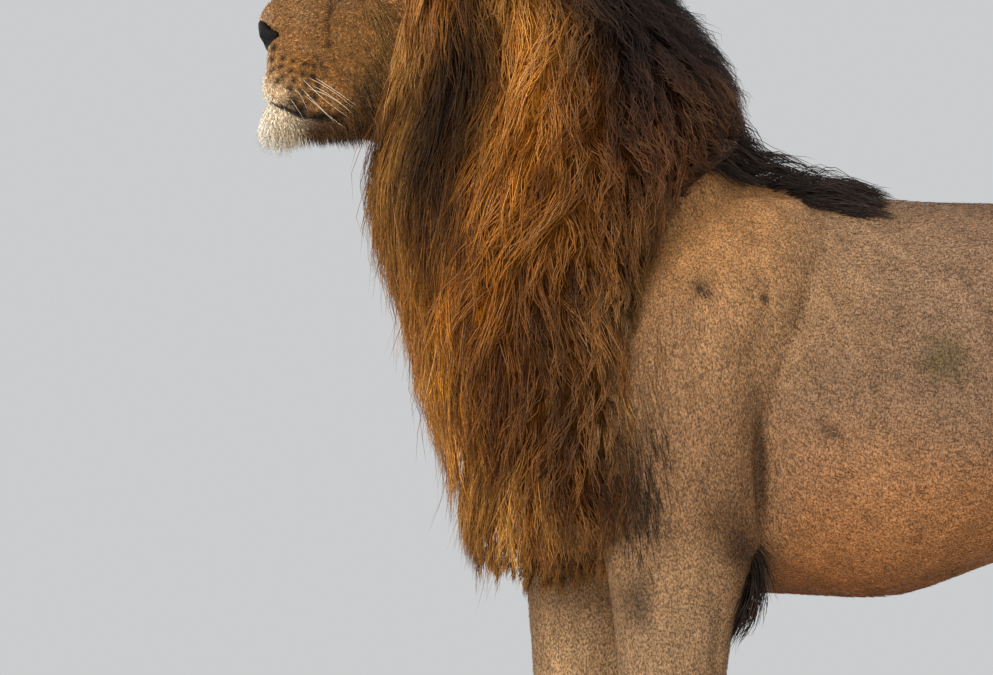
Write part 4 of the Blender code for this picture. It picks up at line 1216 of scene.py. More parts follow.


# %% [markdown]
# The mane is cut into five pieces, one for each solid it stands for. Each strand has its own tone between the
# chart's dark and light, and some of it is greyer and lighter: partly hair faded in the sun, partly painted
# sheen.

# %% Mane pieces
GROUPS = {  # slot, node replaced, strands in a lock, nodes in a strand
    "mane_of_crest": ("mane_brown", "mane_crest", 10, 6),
    "mane_of_left_neck": ("mane_gold", "mane_left", 13, 5),
    "mane_of_right_neck": ("mane_gold", "mane_right", 13, 5),
    "mane_of_left_chest": ("mane_gold", "mane_chest_left", 13, 5),
    "mane_of_right_chest": ("mane_gold", "mane_chest_right", 13, 5),
}
first = locks[:, 0]
top = (first[:, 2] > 1.33) | (first[:, 2] > 1.12) & (first[:, 1] > 0.38)
group = np.where(top, 0, np.where(first[:, 2] < 0.98, 3, 1) + (first[:, 0] < 0))
for i, (name, (slot, replaced, children, nodes)) in enumerate(GROUPS.items()):
    chosen = group == i
    outwards = mane_gap(locks[chosen, 3])[1]
    spread = 0.007 + 0.009 * thin[chosen]
    mine = locks[chosen], length[chosen], curl[chosen]
    lines, of = strands_of(*mine, children, nodes, spread, rng, outwards)
    half_way = mirror_only(lines[:, nodes // 2])
    dark, light = blended(half_way, MANE_CHART, 5), blended(half_way, MANE_CHART, 6)
    mix_at = (0.46 + 0.14 * waves(half_way, 0.05, 3) + 0.10 * waves(half_way, 0.018, 4))[:, None]
    tones = dark, light, mix_at
    strand_piece(name, lines, of, outwards[of], *tones, STRAND_WIDTH, "mane", slot, (replaced,))

# %% [markdown]
# ## Felt under the mane
#
# Close to the skin the hair is a dense felt that no light passes. It fills the mane's inside, and its colour,
# darkened as painted shade of the mane's depth, makes the gaps between the locks dark instead of open. It is
# the mane's own loft, drawn in by 2 to 3 cm.

# %% Felt
FELT_DEPTH, FELT_SIDE_DEPTH = 0.026, 0.021
felt_rows = []
for row in MANE[2:-1]:
    front, back, half = row.front + FELT_DEPTH, row.back - FELT_DEPTH, row.half - FELT_SIDE_DEPTH
    felt_rows.append(row._replace(front=front, back=back, half=half))
felt_points, felt_faces = evaluated("felt", *grid_mesh(rings_of(felt_rows, 70, 90)))
felt_points += vertex_normals(felt_points, felt_faces) * 0.003 * waves(felt_points, 0.03, 5)[:, None]
felt_at = mirror_only(felt_points)
# the felt's colour: the chart's colours, darkened as painted shade of the mane's depth
felt_colour_with_painted_shade = 0.40 * blended(felt_at, MANE_CHART, 5) + 0.16 * blended(felt_at, MANE_CHART, 6)
FELT = coat_material("felted_underhair", 1.0, 0.0)
add_grain(FELT, 520.0, 0.30, 1.70, 0.004, (1, 1, 0.09))  # 2 mm by 22 mm
uv = unwrap(felt_points, "mane")
finished("mane_felt", felt_points, felt_faces, FELT, "mane_brown", (), felt_colour_with_painted_shade, uv)
# %% [markdown]
# ## The short coat
#
# From the shoulder back, and on the face and legs, the hair is short and lies flat. Its direction still shows
# in every change of light: back along the ribs, down the legs, up and back from the nose. Each tuft is a thin
# pyramid of four triangles: a narrow base across the lie, a low ridge, and a tip some way along the lie and a
# little off the skin. They are 11 mm long on the body and 5 mm on the face and feet. A displaced surface
# could give the same grain, but its outline against the light would stay smooth, and a real coat's isn't.

# %% Chart of the short coat
Coat = namedtuple("Coat", "place reach colour lie length")
REACHES = {"usual": (120, 50, 50), "wide": (140, 90, 90), "small": (30, 22, 16), "spot": (20, 11, 9)}


def coat_rows(text):
    """The chart's rows, in millimetres. A row's reach is named, or it has three numbers of its own."""
    rows = []
    for y, z, x, code, *lie, length, reach in (row[:8] + [row[8:]] for row in rows_of(text)):
        place = [float(word) / 1000 for word in (x, y, z)]
        reach = [float(size) / 1000 for size in (REACHES[reach[0]] if len(reach) == 1 else reach)]
        lie = [float(word) for word in lie]
        rows.append(Coat(place, reach, linear(code), lie, float(length) / 1000))
    return rows


# below the mane, darker as painted shade of the mane
# pale inside of the foreleg, partly darkened as painted shade
# shoulder, its golden colour lightened further as painted light where the mane shades it
COAT_CHART = coat_rows("""y z x colour lie_x lie_y lie_z length reach
520 1030 160 a87a4b 0 0.55 -0.85 11 usual  # shoulder
560 990 160 9e7145 0 0.6 -0.8 11 usual
520 900 160 936f4c 0 0.35 -0.95 11 usual
640 940 160 94704d 0 0.8 -0.6 11 usual
500 800 160 876444 0 0.15 -1 11 usual
500 720 160 775638 0 0.1 -1 11 usual
560 720 160 805d3e 0 0.25 -1 11 usual
480 640 160 876543 0 1 -0.45 9 usual
482 560 160 8c6d4e 0 1 -0.35 8 usual
480 400 160 987858 0 0.12 -1 8 usual
480 250 160 ab8a66 0 0.12 -1 7 usual
470 100 160 b3926b 0 -0.3 -1 6 usual
420 30 160 bc9c74 0 -1 -0.4 5 usual
540 400 160 876442 0 0.12 -1 8 usual  # darker back of the forearm
480 450 60 a9855e 0 0.12 -1 8 20 60 200  # pale inside of the foreleg
734 996 160 896b4d 0 1 -0.3 11 usual  # flank
860 980 160 876950 0 1 -0.3 11 wide
722 900 160 7d5f44 0 1 -0.3 11 usual
722 816 160 775a41 0 1 -0.3 11 usual
850 850 160 795c44 0 1 -0.3 11 wide
722 730 160 956a45 0 1 -0.3 11 usual
760 690 160 a16e43 0 1 -0.15 11 usual
722 630 160 976034 0 1 -0.1 11 usual
850 650 160 9b6539 0 1 0.05 11 usual
950 690 160 9f6c3f 0 1 0.1 11 usual
800 585 0 744119 0 1 0.05 11 80 250 20  # edge of the belly
1020 680 0 8a5c36 0 1 0.1 11 70 150 30
800 1048 0 63462a 0 1 -0.02 11 35 350 30  # line of the back
1200 1056 0 684120 0 1 -0.02 11 35 250 30
1050 940 160 846648 0 1 -0.3 11 wide
1050 800 160 8f6b4b 0 1 -0.3 11 wide
1150 720 160 a27c52 0 0.6 -0.5 11 usual
1250 960 160 8a6845 0 0.9 -0.45 11 wide  # hips and thigh
1400 960 160 8c6944 0 0.8 -0.7 11 wide
1300 820 160 8f6c49 0 0.5 -0.9 11 wide
1460 800 160 97764f 0 0.3 -1 11 wide
1260 640 160 926f4a 0 0.45 -1 9 usual
1360 520 160 96734e 0 0.5 -1 8 usual
1420 400 160 997953 0 0.12 -1 8 usual
1480 250 160 9f7e59 0 0.12 -1 7 usual
1450 100 160 a68863 0 -0.3 -1 6 usual
1410 30 160 af916b 0 -1 -0.4 5 usual
1350 700 50 b49871 0 0.4 -1 9 25 150 150  # inside of the thigh
1200 720 40 b89e79 0 1 -0.1 12 50 120 40
1500 950 30 8a6844 0 0.6 -0.8 11 30 40 50  # tail
1600 820 20 8d6a46 0 0.2 -1 10 40 60 120
1620 550 20 886440 0 0 -1 10 40 60 200
1618 360 20 442c16 0 0.1 -1 16 40 60 30
400 1000 160 6a4420 0 0 -1 11 300 100 150  # below the mane""")
print("the coat's chart has", len(COAT_CHART), "rows")

# %% [markdown]
# This lion has scabs, bites and stains on its left side, and painted shade in the crease behind its arm. Each
# is a soft spot that is blended over the chart.

# %% Marks of the left side
# The rows at y 600 and 594 are painted shade in the crease behind the arm.
SPOTS = rows_of("""y z reach colour strength tallness
529 948 7.8 080403 1 1.2  # a scab on the shoulder
603 936 4.2 2c1a0e 0.9 1
816 866 25 54462a 0.8 1  # a round darker patch on the flank
735 885 20 7c5c3e 0.45 1
660 865 18 7c5c3e 0.4 1
690 935 15 806040 0.35 1
554 672 24 54391f 0.7 1  # dark fur above the elbow
452 580 18 3e2c1c 0.75 1.6  # stain on the forearm
575 640 16 3a2414 0.85 1.5
446 690 18 4a321e 0.45 1.6
600 735 5.5 20140c 0.75 8
594 760 9 5a4028 0.45 5  # shadowed crease behind the arm
692 779 2 140a06 0.9 1.2
686 775 2 140a06 0.9 1.2
742 782 2 140a06 0.9 1.2
698 733 2 140a06 0.9 1.2
684 728 2 140a06 0.9 1.2
788 709 2 140a06 0.9 1.2
811 796 2 140a06 0.9 1.2
871 715 2 140a06 0.9 1.2
640 905 2 140a06 0.9 1.2
760 905 2 140a06 0.9 1.2
905 790 2 140a06 0.9 1.2
862 742 2 140a06 0.9 1.2""")  # the last ones are burrs and bites


def marks(places, colours):
    """The colours with the spots over them: share = strength exp(-(gap/reach)^3.2 / 2)."""
    near_side = (places[:, 0] > 0.02)[:, None]
    for y, z, reach, code, strength, tall in SPOTS:
        y, z, reach = (float(word) / 1000 for word in (y, z, reach))
        gap = ((places[:, 1] - y) / reach) ** 2 + ((places[:, 2] - z) / (reach * float(tall))) ** 2
        share = float(strength) * np.exp(-0.5 * gap**1.6)[:, None] * near_side
        colours = colours * (1 - share) + linear(code) * share
    return colours


BACK_LINE = "5a3014"  # a darker line along the spine


def body_coat(places):
    """(colour, lie, length) of the short coat at places on the body, with its soft mottling."""
    at = on_left(places)
    colour = blended(at, COAT_CHART, 2)
    lie = blended(at, COAT_CHART, 3)
    mottle = 0.06 * waves(places, 0.060, 21) + 0.07 * waves(places, 0.018, 22)
    back = np.exp(-0.5 * (places[:, 0] / 0.008) ** 2) * (places[:, 2] > 1.0)
    back *= np.clip((places[:, 1] - 0.70) / 0.04, 0, 1) * np.clip((1.40 - places[:, 1]) / 0.30, 0, 1)
    colour = colour * (1 + mottle[:, None])
    colour = colour * (1 - 0.7 * back[:, None]) + linear(BACK_LINE) * 0.7 * back[:, None]
    return marks(places, colour), lie, blended(at, COAT_CHART, 4)[:, 0]


# %% [markdown]
# A tuft lies along the coat's lie, turned a little at random, and its tip stands a little off the skin.

# %% Tufts
def tuft_mesh(places, normals, lie, length, width, lift, own, swirl=0.0):
    """Pyramids of four triangles: base corners at either side of the lie, a ridge point and a tip."""
    along = unit_rows(lie - (lie * normals).sum(axis=1, keepdims=True) * normals)
    side = np.cross(normals, along)
    turn = own.normal(size=(len(places), 1)) * 0.22 + swirl * waves(places, 0.014, 51)[:, None]
    along, side = unit_rows(along + turn * side), unit_rows(side - turn * along)
    base = places - normals * 0.0006
    a, b = base - side * width[:, None] / 2, base + side * width[:, None] / 2
    c = places + normals * (0.35 * width)[:, None] + along * (0.25 * length)[:, None]
    tip = places + along * length[:, None] + normals * lift[:, None]
    points = np.stack([a, b, c, tip], axis=1).reshape(-1, 3)
    faces = np.array([(2, 0, 3), (1, 2, 3), (0, 1, 3), (0, 2, 1)])
    every = faces[None] + (4 * np.arange(len(places)))[:, None, None]
    return points, every.reshape(-1, 3)


def tuft_uv(root_uv):
    """Per point: the patch at the root's place, with the tuft's four points on it."""
    corner = np.array([[0, 0], [1, 0], [0.5, 0.3], [0.5, 1]]) * PATCH
    return (root_uv[:, None] + corner[None]).reshape(-1, 2)


def fur_colours(colour, own, spread=0.20):
    """Colours of each tuft's four points: painted shade at the root, painted light at the tip, and each
    tuft's own tone.
    """
    tone = np.exp(own.normal(size=(len(colour), 1, 1)) * spread)
    # the root's painted shade and the tip's painted light, as shares of the chart's colour
    steps = np.array([0.62, 0.62, 1.0, 1.42])[None, :, None]
    return (colour[:, None] * tone * steps).reshape(-1, 3)


# %% Charts of the body
def body_charts(places):
    """The name of each place's chart on the unwrap."""
    low_fore = (places[:, 2] < 0.62) & (places[:, 1] < 0.8)
    low_hind = (places[:, 2] < 0.66) & (places[:, 1] > 1.0)
    left = places[:, 0] > 0
    tail = (np.abs(places[:, 0] - 0.015) < 0.05) & (places[:, 1] > 1.545)
    name = np.where(low_fore, np.where(left, "fore_left", "fore_right"), "trunk")
    name = np.where(low_hind, np.where(left, "hind_left", "hind_right"), name)
    return np.where(tail, "tail", name)


def charted_uv(places, names):
    """Each place on its own chart of the unwrap."""
    uv = np.zeros((len(places), 2))
    for chart in np.unique(names):
        uv[names == chart] = unwrap(places[names == chart], chart)
    return uv


# %% [markdown]
# The tufts are scattered over the skin, thinned until no two share a cell of 3.7 mm, and cut into four
# pieces. None stands under the mane, where it would never be seen.

# %% Scatter the body's tufts
BODY_TUFTS, TUFT_SPACING = 88000, 0.0037
places, normals = scatter(body_points, body_faces, int(BODY_TUFTS * 2.6), rng)
outside = mane_gap(places)[0] > -0.022
seen = outside & (places[:, 2] > 0.004)
places, normals = places[seen], normals[seen]
kept = spread_out(places, TUFT_SPACING, rng)
kept = np.sort(rng.permutation(kept)[:BODY_TUFTS])
places, normals = places[kept], normals[kept]
colour, lie, length = body_coat(places)
length = length * rng.uniform(0.75, 1.2, len(places))
width = np.clip(length * 0.14, 0.0009, 0.0015) * rng.uniform(0.8, 1.2, len(places))
lift = length * rng.uniform(0.07, 0.20, len(places))
charts = body_charts(places)
uv_root = charted_uv(places, charts)
print(len(places), "tufts")

# %% Cut the body's fur into pieces
halves = {
    "fur_of_trunk_left": (charts == "trunk") & (places[:, 0] > 0) | (charts == "tail"),
    "fur_of_trunk_right": (charts == "trunk") & (places[:, 0] <= 0),
    "fur_of_forelegs": (charts == "fore_left") | (charts == "fore_right"),
    "fur_of_hind_legs": (charts == "hind_left") | (charts == "hind_right"),
}
for name, chosen in halves.items():
    mine = (values[chosen] for values in (places, normals, lie, length, width, lift))
    points, faces = tuft_mesh(*mine, rng)
    tones, uv = fur_colours(colour[chosen], rng), tuft_uv(uv_root[chosen])
    finished(name, points, faces, SHORT_FUR, "coat_tawny", (), tones, uv)
# %% [markdown]
# ## Face fur and colour
#
# The face's hair is the shortest, 3 to 6 mm, and runs from the nose: up and back over the bridge, back across
# the cheeks, down over the lips. The chin and the upper lip's edge are pale, the mouth's corner is dark, and
# rows of dark spots mark the roots of the whiskers. Painted shade darkens the fur at the jaw's corner and
# along two creases of the cheek.

# %% Chart of the face
FACE_CHART = coat_rows("""y z x colour lie_x lie_y lie_z length reach
30 1288 10 956d45 0 1 0.6 4 small  # bridge
70 1315 10 956e45 0 1 0.3 4 small
120 1350 10 91683f 0 1 0.5 5 small
180 1395 30 91673e 0 1 0.3 7 wide  # forehead
250 1425 30 7c5430 0.1 1 0 9 wide
50 1255 45 976a3b 0.1 1 0 4 small  # side of the muzzle
44 1214.5 50 b0732e 0.1 1 -0.3 4 spot
95 1205 70 7e4f1b 0.1 1 -0.3 5 spot
55 1278 45 876b4a 0 1 0.2 4 spot
100 1292 55 745d46 0 1 0.1 4 spot
4 1275 0 c9a283 0 0.6 0.8 4 20 6 8
6 1204 0 f6e6c8 0 -0.1 -1 6 18 8 30
40 1215 50 a4743f 0.1 1 -0.3 4 small
20 1205 30 e0b684 0.3 0.5 -0.6 4 spot
12 1190 20 fff2d8 0.3 0.3 -0.8 5 spot
60 1190 55 af7a41 0.1 0.8 -0.5 5 small
32 1182 40 ffe4b8 0.1 0.5 -0.9 5 spot
85 1172 60 966736 0.1 0.8 -0.6 5 small
100 1215 70 754c20 0.1 1 -0.3 5 small
100 1262 65 7a5324 0.1 1 -0.2 5 small
140 1280 90 724c1e 0.1 0.9 -0.5 6 wide  # cheek
130 1220 90 6b471b 0.1 0.8 -0.6 7 small
140 1180 80 614320 0.1 0.6 -0.8 9 small
125 1160 60 553917 0.1 0.5 -0.9 9 small
15 1150 0 f0e2cc 0 -0.1 -1 8 26 18 22  # chin
40 1140 20 efddbe 0 0.2 -1 8 30 20 14
70 1135 40 7c4a1a 0 0.8 -0.5 7 small
95 1134 50 5a2c06 0 0.8 -0.5 7 small
60 1122 0 b4946a 0 1 0 8 30 50 12
126 1313 46 e7dfc7 0.4 0.8 -0.4 5 14 10 6  # below the eye
140 1306 70 d8bd93 0.4 0.8 -0.4 5 14 14 6
128 1358 44 c9b28b 0.3 0.8 0.6 6 14 10 7  # pale brow
190 1330 100 835930 0.3 1 -0.2 7 wide
236 1400 104 d0b68c 0.2 -0.4 1 12 30 12 40  # inside of the ear
285 1410 118 2a1c12 0.1 0.6 0.8 7 40 14 22  # back of the ear
262 1450 125 a27d50 0.3 0.3 1 8 40 30 18
300 1350 100 6c4622 0.2 1 -0.2 10 wide""")
print("the face's chart has", len(FACE_CHART), "rows")

# %% Lines and spots of the face
WHISKER_ROWS = folds("""width height, then y z of each root
0 0  19 1238 30 1224.5 42 1222 56 1218 66 1216.5
0 0  17 1224.5 27 1214 40 1210 53 1207 66 1204
0 0  18 1211 30 1203 44 1198 58 1194 71 1191
0 0  24 1197 38 1189 53 1184 67 1180""")
MOUTH_LINE = np.concatenate([
    snapped(head_tree, MOUTH_FRONT, (0, 1, 0)),
    snapped(head_tree, [(0.029, 0.022, 1.1745), (0.036, 0.030, 1.170)], (-0.6, 0.8, 0)),
    snapped(head_tree, MOUTH[1:] + [(0.1, 0.106, 1.143), (0.1, 0.112, 1.138)], (-1, 0, 0)),
])
CLEFT = snapped(head_tree, [(0.0, -0.2, 1.234), (0.0, -0.2, 1.205), (0.0, -0.2, 1.180)], (0, 1, 0))
whisker_roots = snapped(head_tree, [root for row, _, _ in WHISKER_ROWS for root in row], (-1, 0, 0))

# The colour of dark bare skin, also used for painted shade in the face's creases and at the jaw's corner.
DARK_SKIN_AND_SHADE = "150a05"
# Dark skin that shows through at the lips, and painted shade at the jaw's corner. A height of 1000 is full
# dark.
DARK_PATCHES = swells("""x y z reach_x reach_y reach_z height
50 42 1174 30 6.5 8 1000
50 50 1164 30 9 8 1000
55 74 1154 30 20 7 1000
55 72 1145 30 22 8 850
80 128 1178 40 8 18 800
80 122 1148 40 12 10 750
80 112 1168 40 8 8 450""")
# Two creases of the cheek, drawn only as painted shade on the fur: the skin is not moved along them.
CREASE_SHADE_PATHS = folds("""width height, then y z of each point
2.6 0  88 1302  84 1272  85 1240  # before the cheek
2.6 0  66 1229  75 1220  80 1205  # behind the whisker pad""")
CHEEK_CREASE_SHADE, PAD_FOLD_SHADE = (snapped(head_tree, path, (-1, 0, 0)) for path, _, _ in CREASE_SHADE_PATHS)
print("lines of the face:", len(MOUTH_LINE), "points along the mouth,", len(whisker_roots), "whisker spots")

# %% Coat of the face
def shaded(dark, strength, gap, width, power=2):
    """The larger of the darkness so far and strength exp(-(gap/width)^power / 2)."""
    return np.maximum(dark, strength * np.exp(-0.5 * (gap / width) ** power))


def face_coat(places):
    """(colour, lie, length) on the head: whisker spots, dark lips, lids, tear lines and painted shade in
    creases and at the jaw.
    """
    at = mirror_only(places)
    colour = blended(at, FACE_CHART, 2)
    lie = blended(at, FACE_CHART, 3)
    lie[:, 0] *= np.where(places[:, 0] < 0, -1, 1)
    colour = colour * (1 + 0.08 * waves(places, 0.020, 31) + 0.13 * waves(places, 0.0075, 32))[:, None]
    dark = np.zeros(len(places))
    for root in whisker_roots:
        dark = np.maximum(dark, near(at, root, 0.0034))
    dark = shaded(dark, 0.95, from_path(at, MOUTH_LINE), 0.0024)
    rim = np.abs(np.linalg.norm(at - EYE_AT, axis=1) - EYE_RADIUS)
    loop = EYE_AT + lid_line() * EYE_RADIUS
    close = np.nonzero(rim < 0.012)[0]
    gap = np.full(len(places), 9.0)
    gap[close] = from_path(at[close], np.concatenate([loop, loop[:1]]))
    dark = shaded(dark, 0.97, gap, 0.0042, 4)
    dark = shaded(dark, 0.8, from_path(at, CLEFT), 0.0013)
    inner = EYE_AT + lid_line()[32] * EYE_RADIUS
    tear = np.array([inner, (0.036, 0.104, 1.303), (0.034, 0.094, 1.285), (0.036, 0.088, 1.262)])
    dark = shaded(dark, 0.55, from_path(at, tear), 0.0040)
    for place, reach, strength in DARK_PATCHES:
        dark = np.maximum(dark, strength * near(at, np.array(place), np.array(reach)))
    # painted shade along the two creases
    dark = shaded(dark, 0.65, from_path(at, CHEEK_CREASE_SHADE), 0.0026)
    dark = shaded(dark, 0.65, from_path(at, PAD_FOLD_SHADE), 0.0026)
    colour = colour * (1 - dark[:, None]) + linear(DARK_SKIN_AND_SHADE) * dark[:, None]
    return colour, lie, blended(at, FACE_CHART, 4)[:, 0]

# %% Scatter the face's tufts
FACE_TUFTS, FACE_SPACING = 42000, 0.0014
places, normals = scatter(head_points, head_faces, FACE_TUFTS * 4, rng)
at = mirror_only(places)
face, half = nose_face(at[:, 0], at[:, 2])
bare = (at[:, 0] < half) & (np.abs(at[:, 2] - 1.2515) < 0.018) & (at[:, 1] < 0.034)
bare |= np.linalg.norm(at - EYE_AT, axis=1) < EYE_RADIUS + 0.0012
bare |= (from_path(at, MOUTH_LINE) < 0.0026) | (from_path(at, CLEFT) < 0.0008)
bare |= (mane_gap(places)[0] < -0.03) & (at[:, 1] > 0.17)
places, normals = places[~bare], normals[~bare]
kept = np.sort(rng.permutation(spread_out(places, FACE_SPACING, rng))[:FACE_TUFTS])
places, normals = places[kept], normals[kept]
print(len(places), "tufts")

# %% Fur of the face
colour, lie, length = face_coat(places)
length = length * rng.uniform(0.95, 1.5, len(places))
width = np.clip(length * 0.16, 0.0008, 0.0013)
lift = length * rng.uniform(0.10, 0.34, len(places))
uv_root = unwrap(places, "head")
points, faces = tuft_mesh(places, normals, lie, length, width, lift, rng, 0.38)
tones = fur_colours(colour, rng, 0.38)
finished("fur_of_face", points, faces, SHORT_FUR, "coat_tawny", (), tones, tuft_uv(uv_root))

# %% [markdown]
# ## The skin itself
#
# The fur was laid on the fine skin. What shows between the tufts can be coarser, so it is thinned to fewer
# triangles. It takes the fur's colours, darker, as the shaded roots of the hair.

# %% Skin
BODY_TRIANGLES, HEAD_TRIANGLES = 100000, 92000
body_ratio, head_ratio = BODY_TRIANGLES / len(body_faces), min(1.0, HEAD_TRIANGLES / len(head_faces))
body_small = evaluated("body", body_points, body_faces, ("DECIMATE", {"ratio": body_ratio}))
head_small = evaluated("head", head_points, head_faces, ("DECIMATE", {"ratio": head_ratio}))
skin_colours = np.concatenate([body_coat(body_small[0])[0], face_coat(head_small[0])[0] * 0.72]) * 0.86
skin_points, skin_faces = joined([body_small, head_small])

SKIN = coat_material("skin_and_underfur", 0.70, 0.18)
add_grain(SKIN, 440.0, 0.40, 1.60, 0.0014)  # grains of 2.3 mm
NOT_FLESH = ("mane", "tuft", "eye", "nose")
FLESH = [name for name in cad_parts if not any(word in name for word in NOT_FLESH)]
finished("skin", skin_points, skin_faces, SKIN, "coat_tawny", FLESH, skin_colours)
# %% [markdown]
# ## Hanks of hair that follow a path
#
# Black hair stands apart from the mane in a strip over the withers, hangs from the elbows and ends the tail.
# Each is a hank: strands that start at any point of a bent path, keep their place in its cross-section and
# so narrow and bend with it.

# %% Hanks
ELBOW_TUFT = sections(Round, """x y z tall wide
128 566 668 10 14
128 582 642 22 26
128 586 606 28 28
128 576 568 26 26
128 560 538 14 16""")


def hank(path, count, length, nodes, own, curl=0.003, splay=0.0):
    """Strands along a path of round sections: each keeps its place (r, angle) and runs on by arc length."""
    rows = smooth_stations(path, 60)
    along = arc_length(rows[:, :3])
    total = along[-1]
    ahead = unit_rows(np.gradient(rows[:, :3], axis=0))
    side = unit_rows(np.array([1.0, 0, 0]) - ahead[:, :1] * ahead)
    up = np.cross(ahead, side)
    own_length = length * own.uniform(0.65, 1.25, count)
    start = own.uniform(-0.10, 0.96, count) * (total - own_length * 0.6)
    r, a = np.sqrt(own.random(count)), own.uniform(0, 2 * np.pi, count)
    t = np.linspace(0, 1, nodes)
    s = start[:, None] + own_length[:, None] * t
    on = np.clip(s, 0, total)

    def at(values):
        """Values given per station, read at each strand's nodes by arc length."""
        return np.stack([np.interp(on, along, values[:, i]) for i in range(values.shape[1])], axis=-1)

    middle, side_at, up_at, radii = at(rows[:, :3]), at(side), at(up), at(rows[:, 3:5])
    over = (s - on)[..., None] * ahead[np.where(s[:, :1] < 0, 0, -1)]
    out = 0.62 + 0.38 * t[None] + splay * t[None] ** 2
    x = (r * np.cos(a))[:, None] * out * radii[..., 1]
    y = (r * np.sin(a))[:, None] * out * radii[..., 0]
    lines = middle + over + x[..., None] * side_at + y[..., None] * up_at
    wave = curl * np.sin(own_length[:, None] / 0.045 * 6.28 * t + own.uniform(0, 6.28, (count, 1)))
    lines = lines + wave[..., None] * side_at * np.sqrt(t)[None, :, None]
    lines = lines + own.normal(size=lines.shape) * curl * 0.35 * np.sqrt(t)[None, :, None]
    outward = np.cos(a)[:, None] * side_at[:, 0] + np.sin(a)[:, None] * up_at[:, 0]
    return lines, outward


HANK_NODES, HANK_STRAND = 5, 0.0016


def hank_piece(name, path, count, length, codes, replaced, chart, curl, splay=0.0, x=1, ahead=0.0):
    """A hank made into a piece of coat. x = -1 puts it on the right side, and ahead slides it forward."""
    nodes, (dark, light) = HANK_NODES, codes
    lines, outward = hank(path, count, length, nodes, rng, curl, splay)
    lines, outward = lines * [x, 1, 1] - [0, ahead, 0], outward * [x, 1, 1]
    taper = np.interp(np.linspace(0, 1, nodes), [0, 0.3, 0.7, 1], [0.9, 1, 0.75, 0])
    widths = HANK_STRAND * rng.uniform(0.7, 1.25, (count, 1)) * taper
    mix = np.clip(rng.normal(0.4, 0.26, (count, 1)) + 0.25 * np.linspace(-0.5, 0.5, nodes), 0, 1)[..., None]
    colours = linear(dark) * (1 - mix) + linear(light) * mix
    points, faces = strand_mesh(lines, widths, outward)
    uv = strand_uv(unwrap(lines[:, 0], chart), nodes)
    finished(name, points, faces, MANE_HAIR, "mane_black", (replaced,), per_vertex(colours), uv)

# %% [markdown]
# The strip over the withers is laid like thatch: its locks start on the skin, rise a little and lie back.

# %% Strip over the withers
WITHERS_EDGE = np.array([  # y and z of the strip's lower edge on the flank
    (0.470, 1.120), (0.572, 1.088), (0.602, 1.074), (0.638, 1.058),
    (0.674, 1.044), (0.704, 1.036), (0.745, 1.036),
])
RIDGE_Y = (0.50, 0.572, 0.614, 0.686, 0.710, 0.746, 0.765)
RIDGE = (0.050, 0.048, 0.040, 0.030, 0.022, 0.008, 0.001)  # height of its outline over the skin there


def withers_locks(steps=9):
    """Locks that start on the skin above the strip's edge and lie back over it, rising to their tips."""
    spots, _ = scatter(body_points, body_faces, 400000, rng)
    edge = np.interp(spots[:, 1], *WITHERS_EDGE.T) + np.where(spots[:, 0] < 0, 0.024, 0)  # combed to the left
    spots = spots[(spots[:, 1] > 0.50) & (spots[:, 1] < 0.725) & (spots[:, 2] > edge) & (spots[:, 2] > 1.02)]
    spots = spots[spread_out(spots, 0.0118, rng)]
    size = np.minimum(0.085, (0.766 - spots[:, 1]) * 0.95) * rng.uniform(0.7, 1.1, len(spots))
    sway = rng.normal(size=(len(spots), 1)) * 0.08
    layer = rng.uniform(0.05, 1.0, len(spots)) ** 0.6 * np.clip(1.15 - np.abs(spots[:, 0]) / 0.08, 0.25, 1)
    path = [spots]
    for step in range(steps):
        way = np.array([0, 1, -0.42]) + sway * np.array([0, 0.3, 1])
        on = path[-1] + unit_rows(way) * (size / steps)[:, None]
        height, out = above_skin(on)
        t = (step + 1) / steps
        ridge = np.interp(on[:, 1], RIDGE_Y, RIDGE)
        wanted = 0.002 + ridge * layer * math.sin(min(1.57, 2.6 * t)) * (1 - 0.3 * t**2)
        path.append(on + out * (wanted - height)[:, None])
    return np.stack(path, axis=1), size, out


locks_back, size, out = withers_locks()
curly = np.full(len(locks_back), 0.0020)
spread = np.full(len(locks_back), 0.0080)
lines, of = strands_of(locks_back, size, curly, 8, 7, spread, rng, out, 0.50)
tones = *(np.tile(linear(code), (len(of), 1)) for code in ("080504", "3a2a22")), 0.36
strand_piece("withers_strip", lines, of, out[of], *tones, 0.0016, "trunk", "mane_black", ("mane_withers",))

# %% [markdown]
# The elbows' tufts and the tail's brush are the same kind of hank on paths of their own.

# %% Elbows and tail
for side, x, ahead in (("left", 1, 0.0), ("right", -1, 0.035)):
    elbow = ELBOW_TUFT, 560, 0.055, ("0c0705", "3d2c1f"), f"elbow_tuft_{side}", "trunk", 0.005, 0.5
    hank_piece(f"elbow_hair_{side}", *elbow, x, ahead)
hank_piece("tail_hair", TAIL[7:], 1300, 0.085, ("0d0806", "3f2c1c"), "tail_tuft", "tail", 0.0035)

# %% [markdown]
# ## Eyes
#
# A lion's eyeball is about 39 mm across. The iris is amber, almost fills the opening, and lies in a shallow
# dish behind a clear cornea, so that it catches light from a little inside the eye. The pupil is round.

# %% Eyes
GAZE = unit((0.50, -0.86, 0.06))
GAZE_SIDE = unit(np.cross(GAZE, (0, 0, 1)))
GAZE_UP = np.cross(GAZE_SIDE, GAZE)
IRIS_ANGLE = 0.64  # between the gaze and the iris's edge


def turned(profile_along, profile_out, sides=48):
    """A surface of revolution round the gaze: each row's distance ahead of the centre and its radius."""
    a = 2 * np.pi * np.arange(sides) / sides
    ring = np.cos(a)[:, None] * GAZE_SIDE + np.sin(a)[:, None] * GAZE_UP
    return profile_along[:, None, None] * GAZE + profile_out[:, None, None] * ring[None] + EYE_AT


EYE_RINGS = [  # radius and colour: the pupil, the iris to its dark edge, then the white, which is dark too
    (0, "030202"), (0.0034, "030202"), (0.0037, "7c4c16"), (0.0052, "dc9c34"), (0.0096, "c88a2a"),
    (0.0108, "5a360f"), (0.0117, "0c0704"), (0.0138, "261a11"), (0.03, "1a120c"),
]


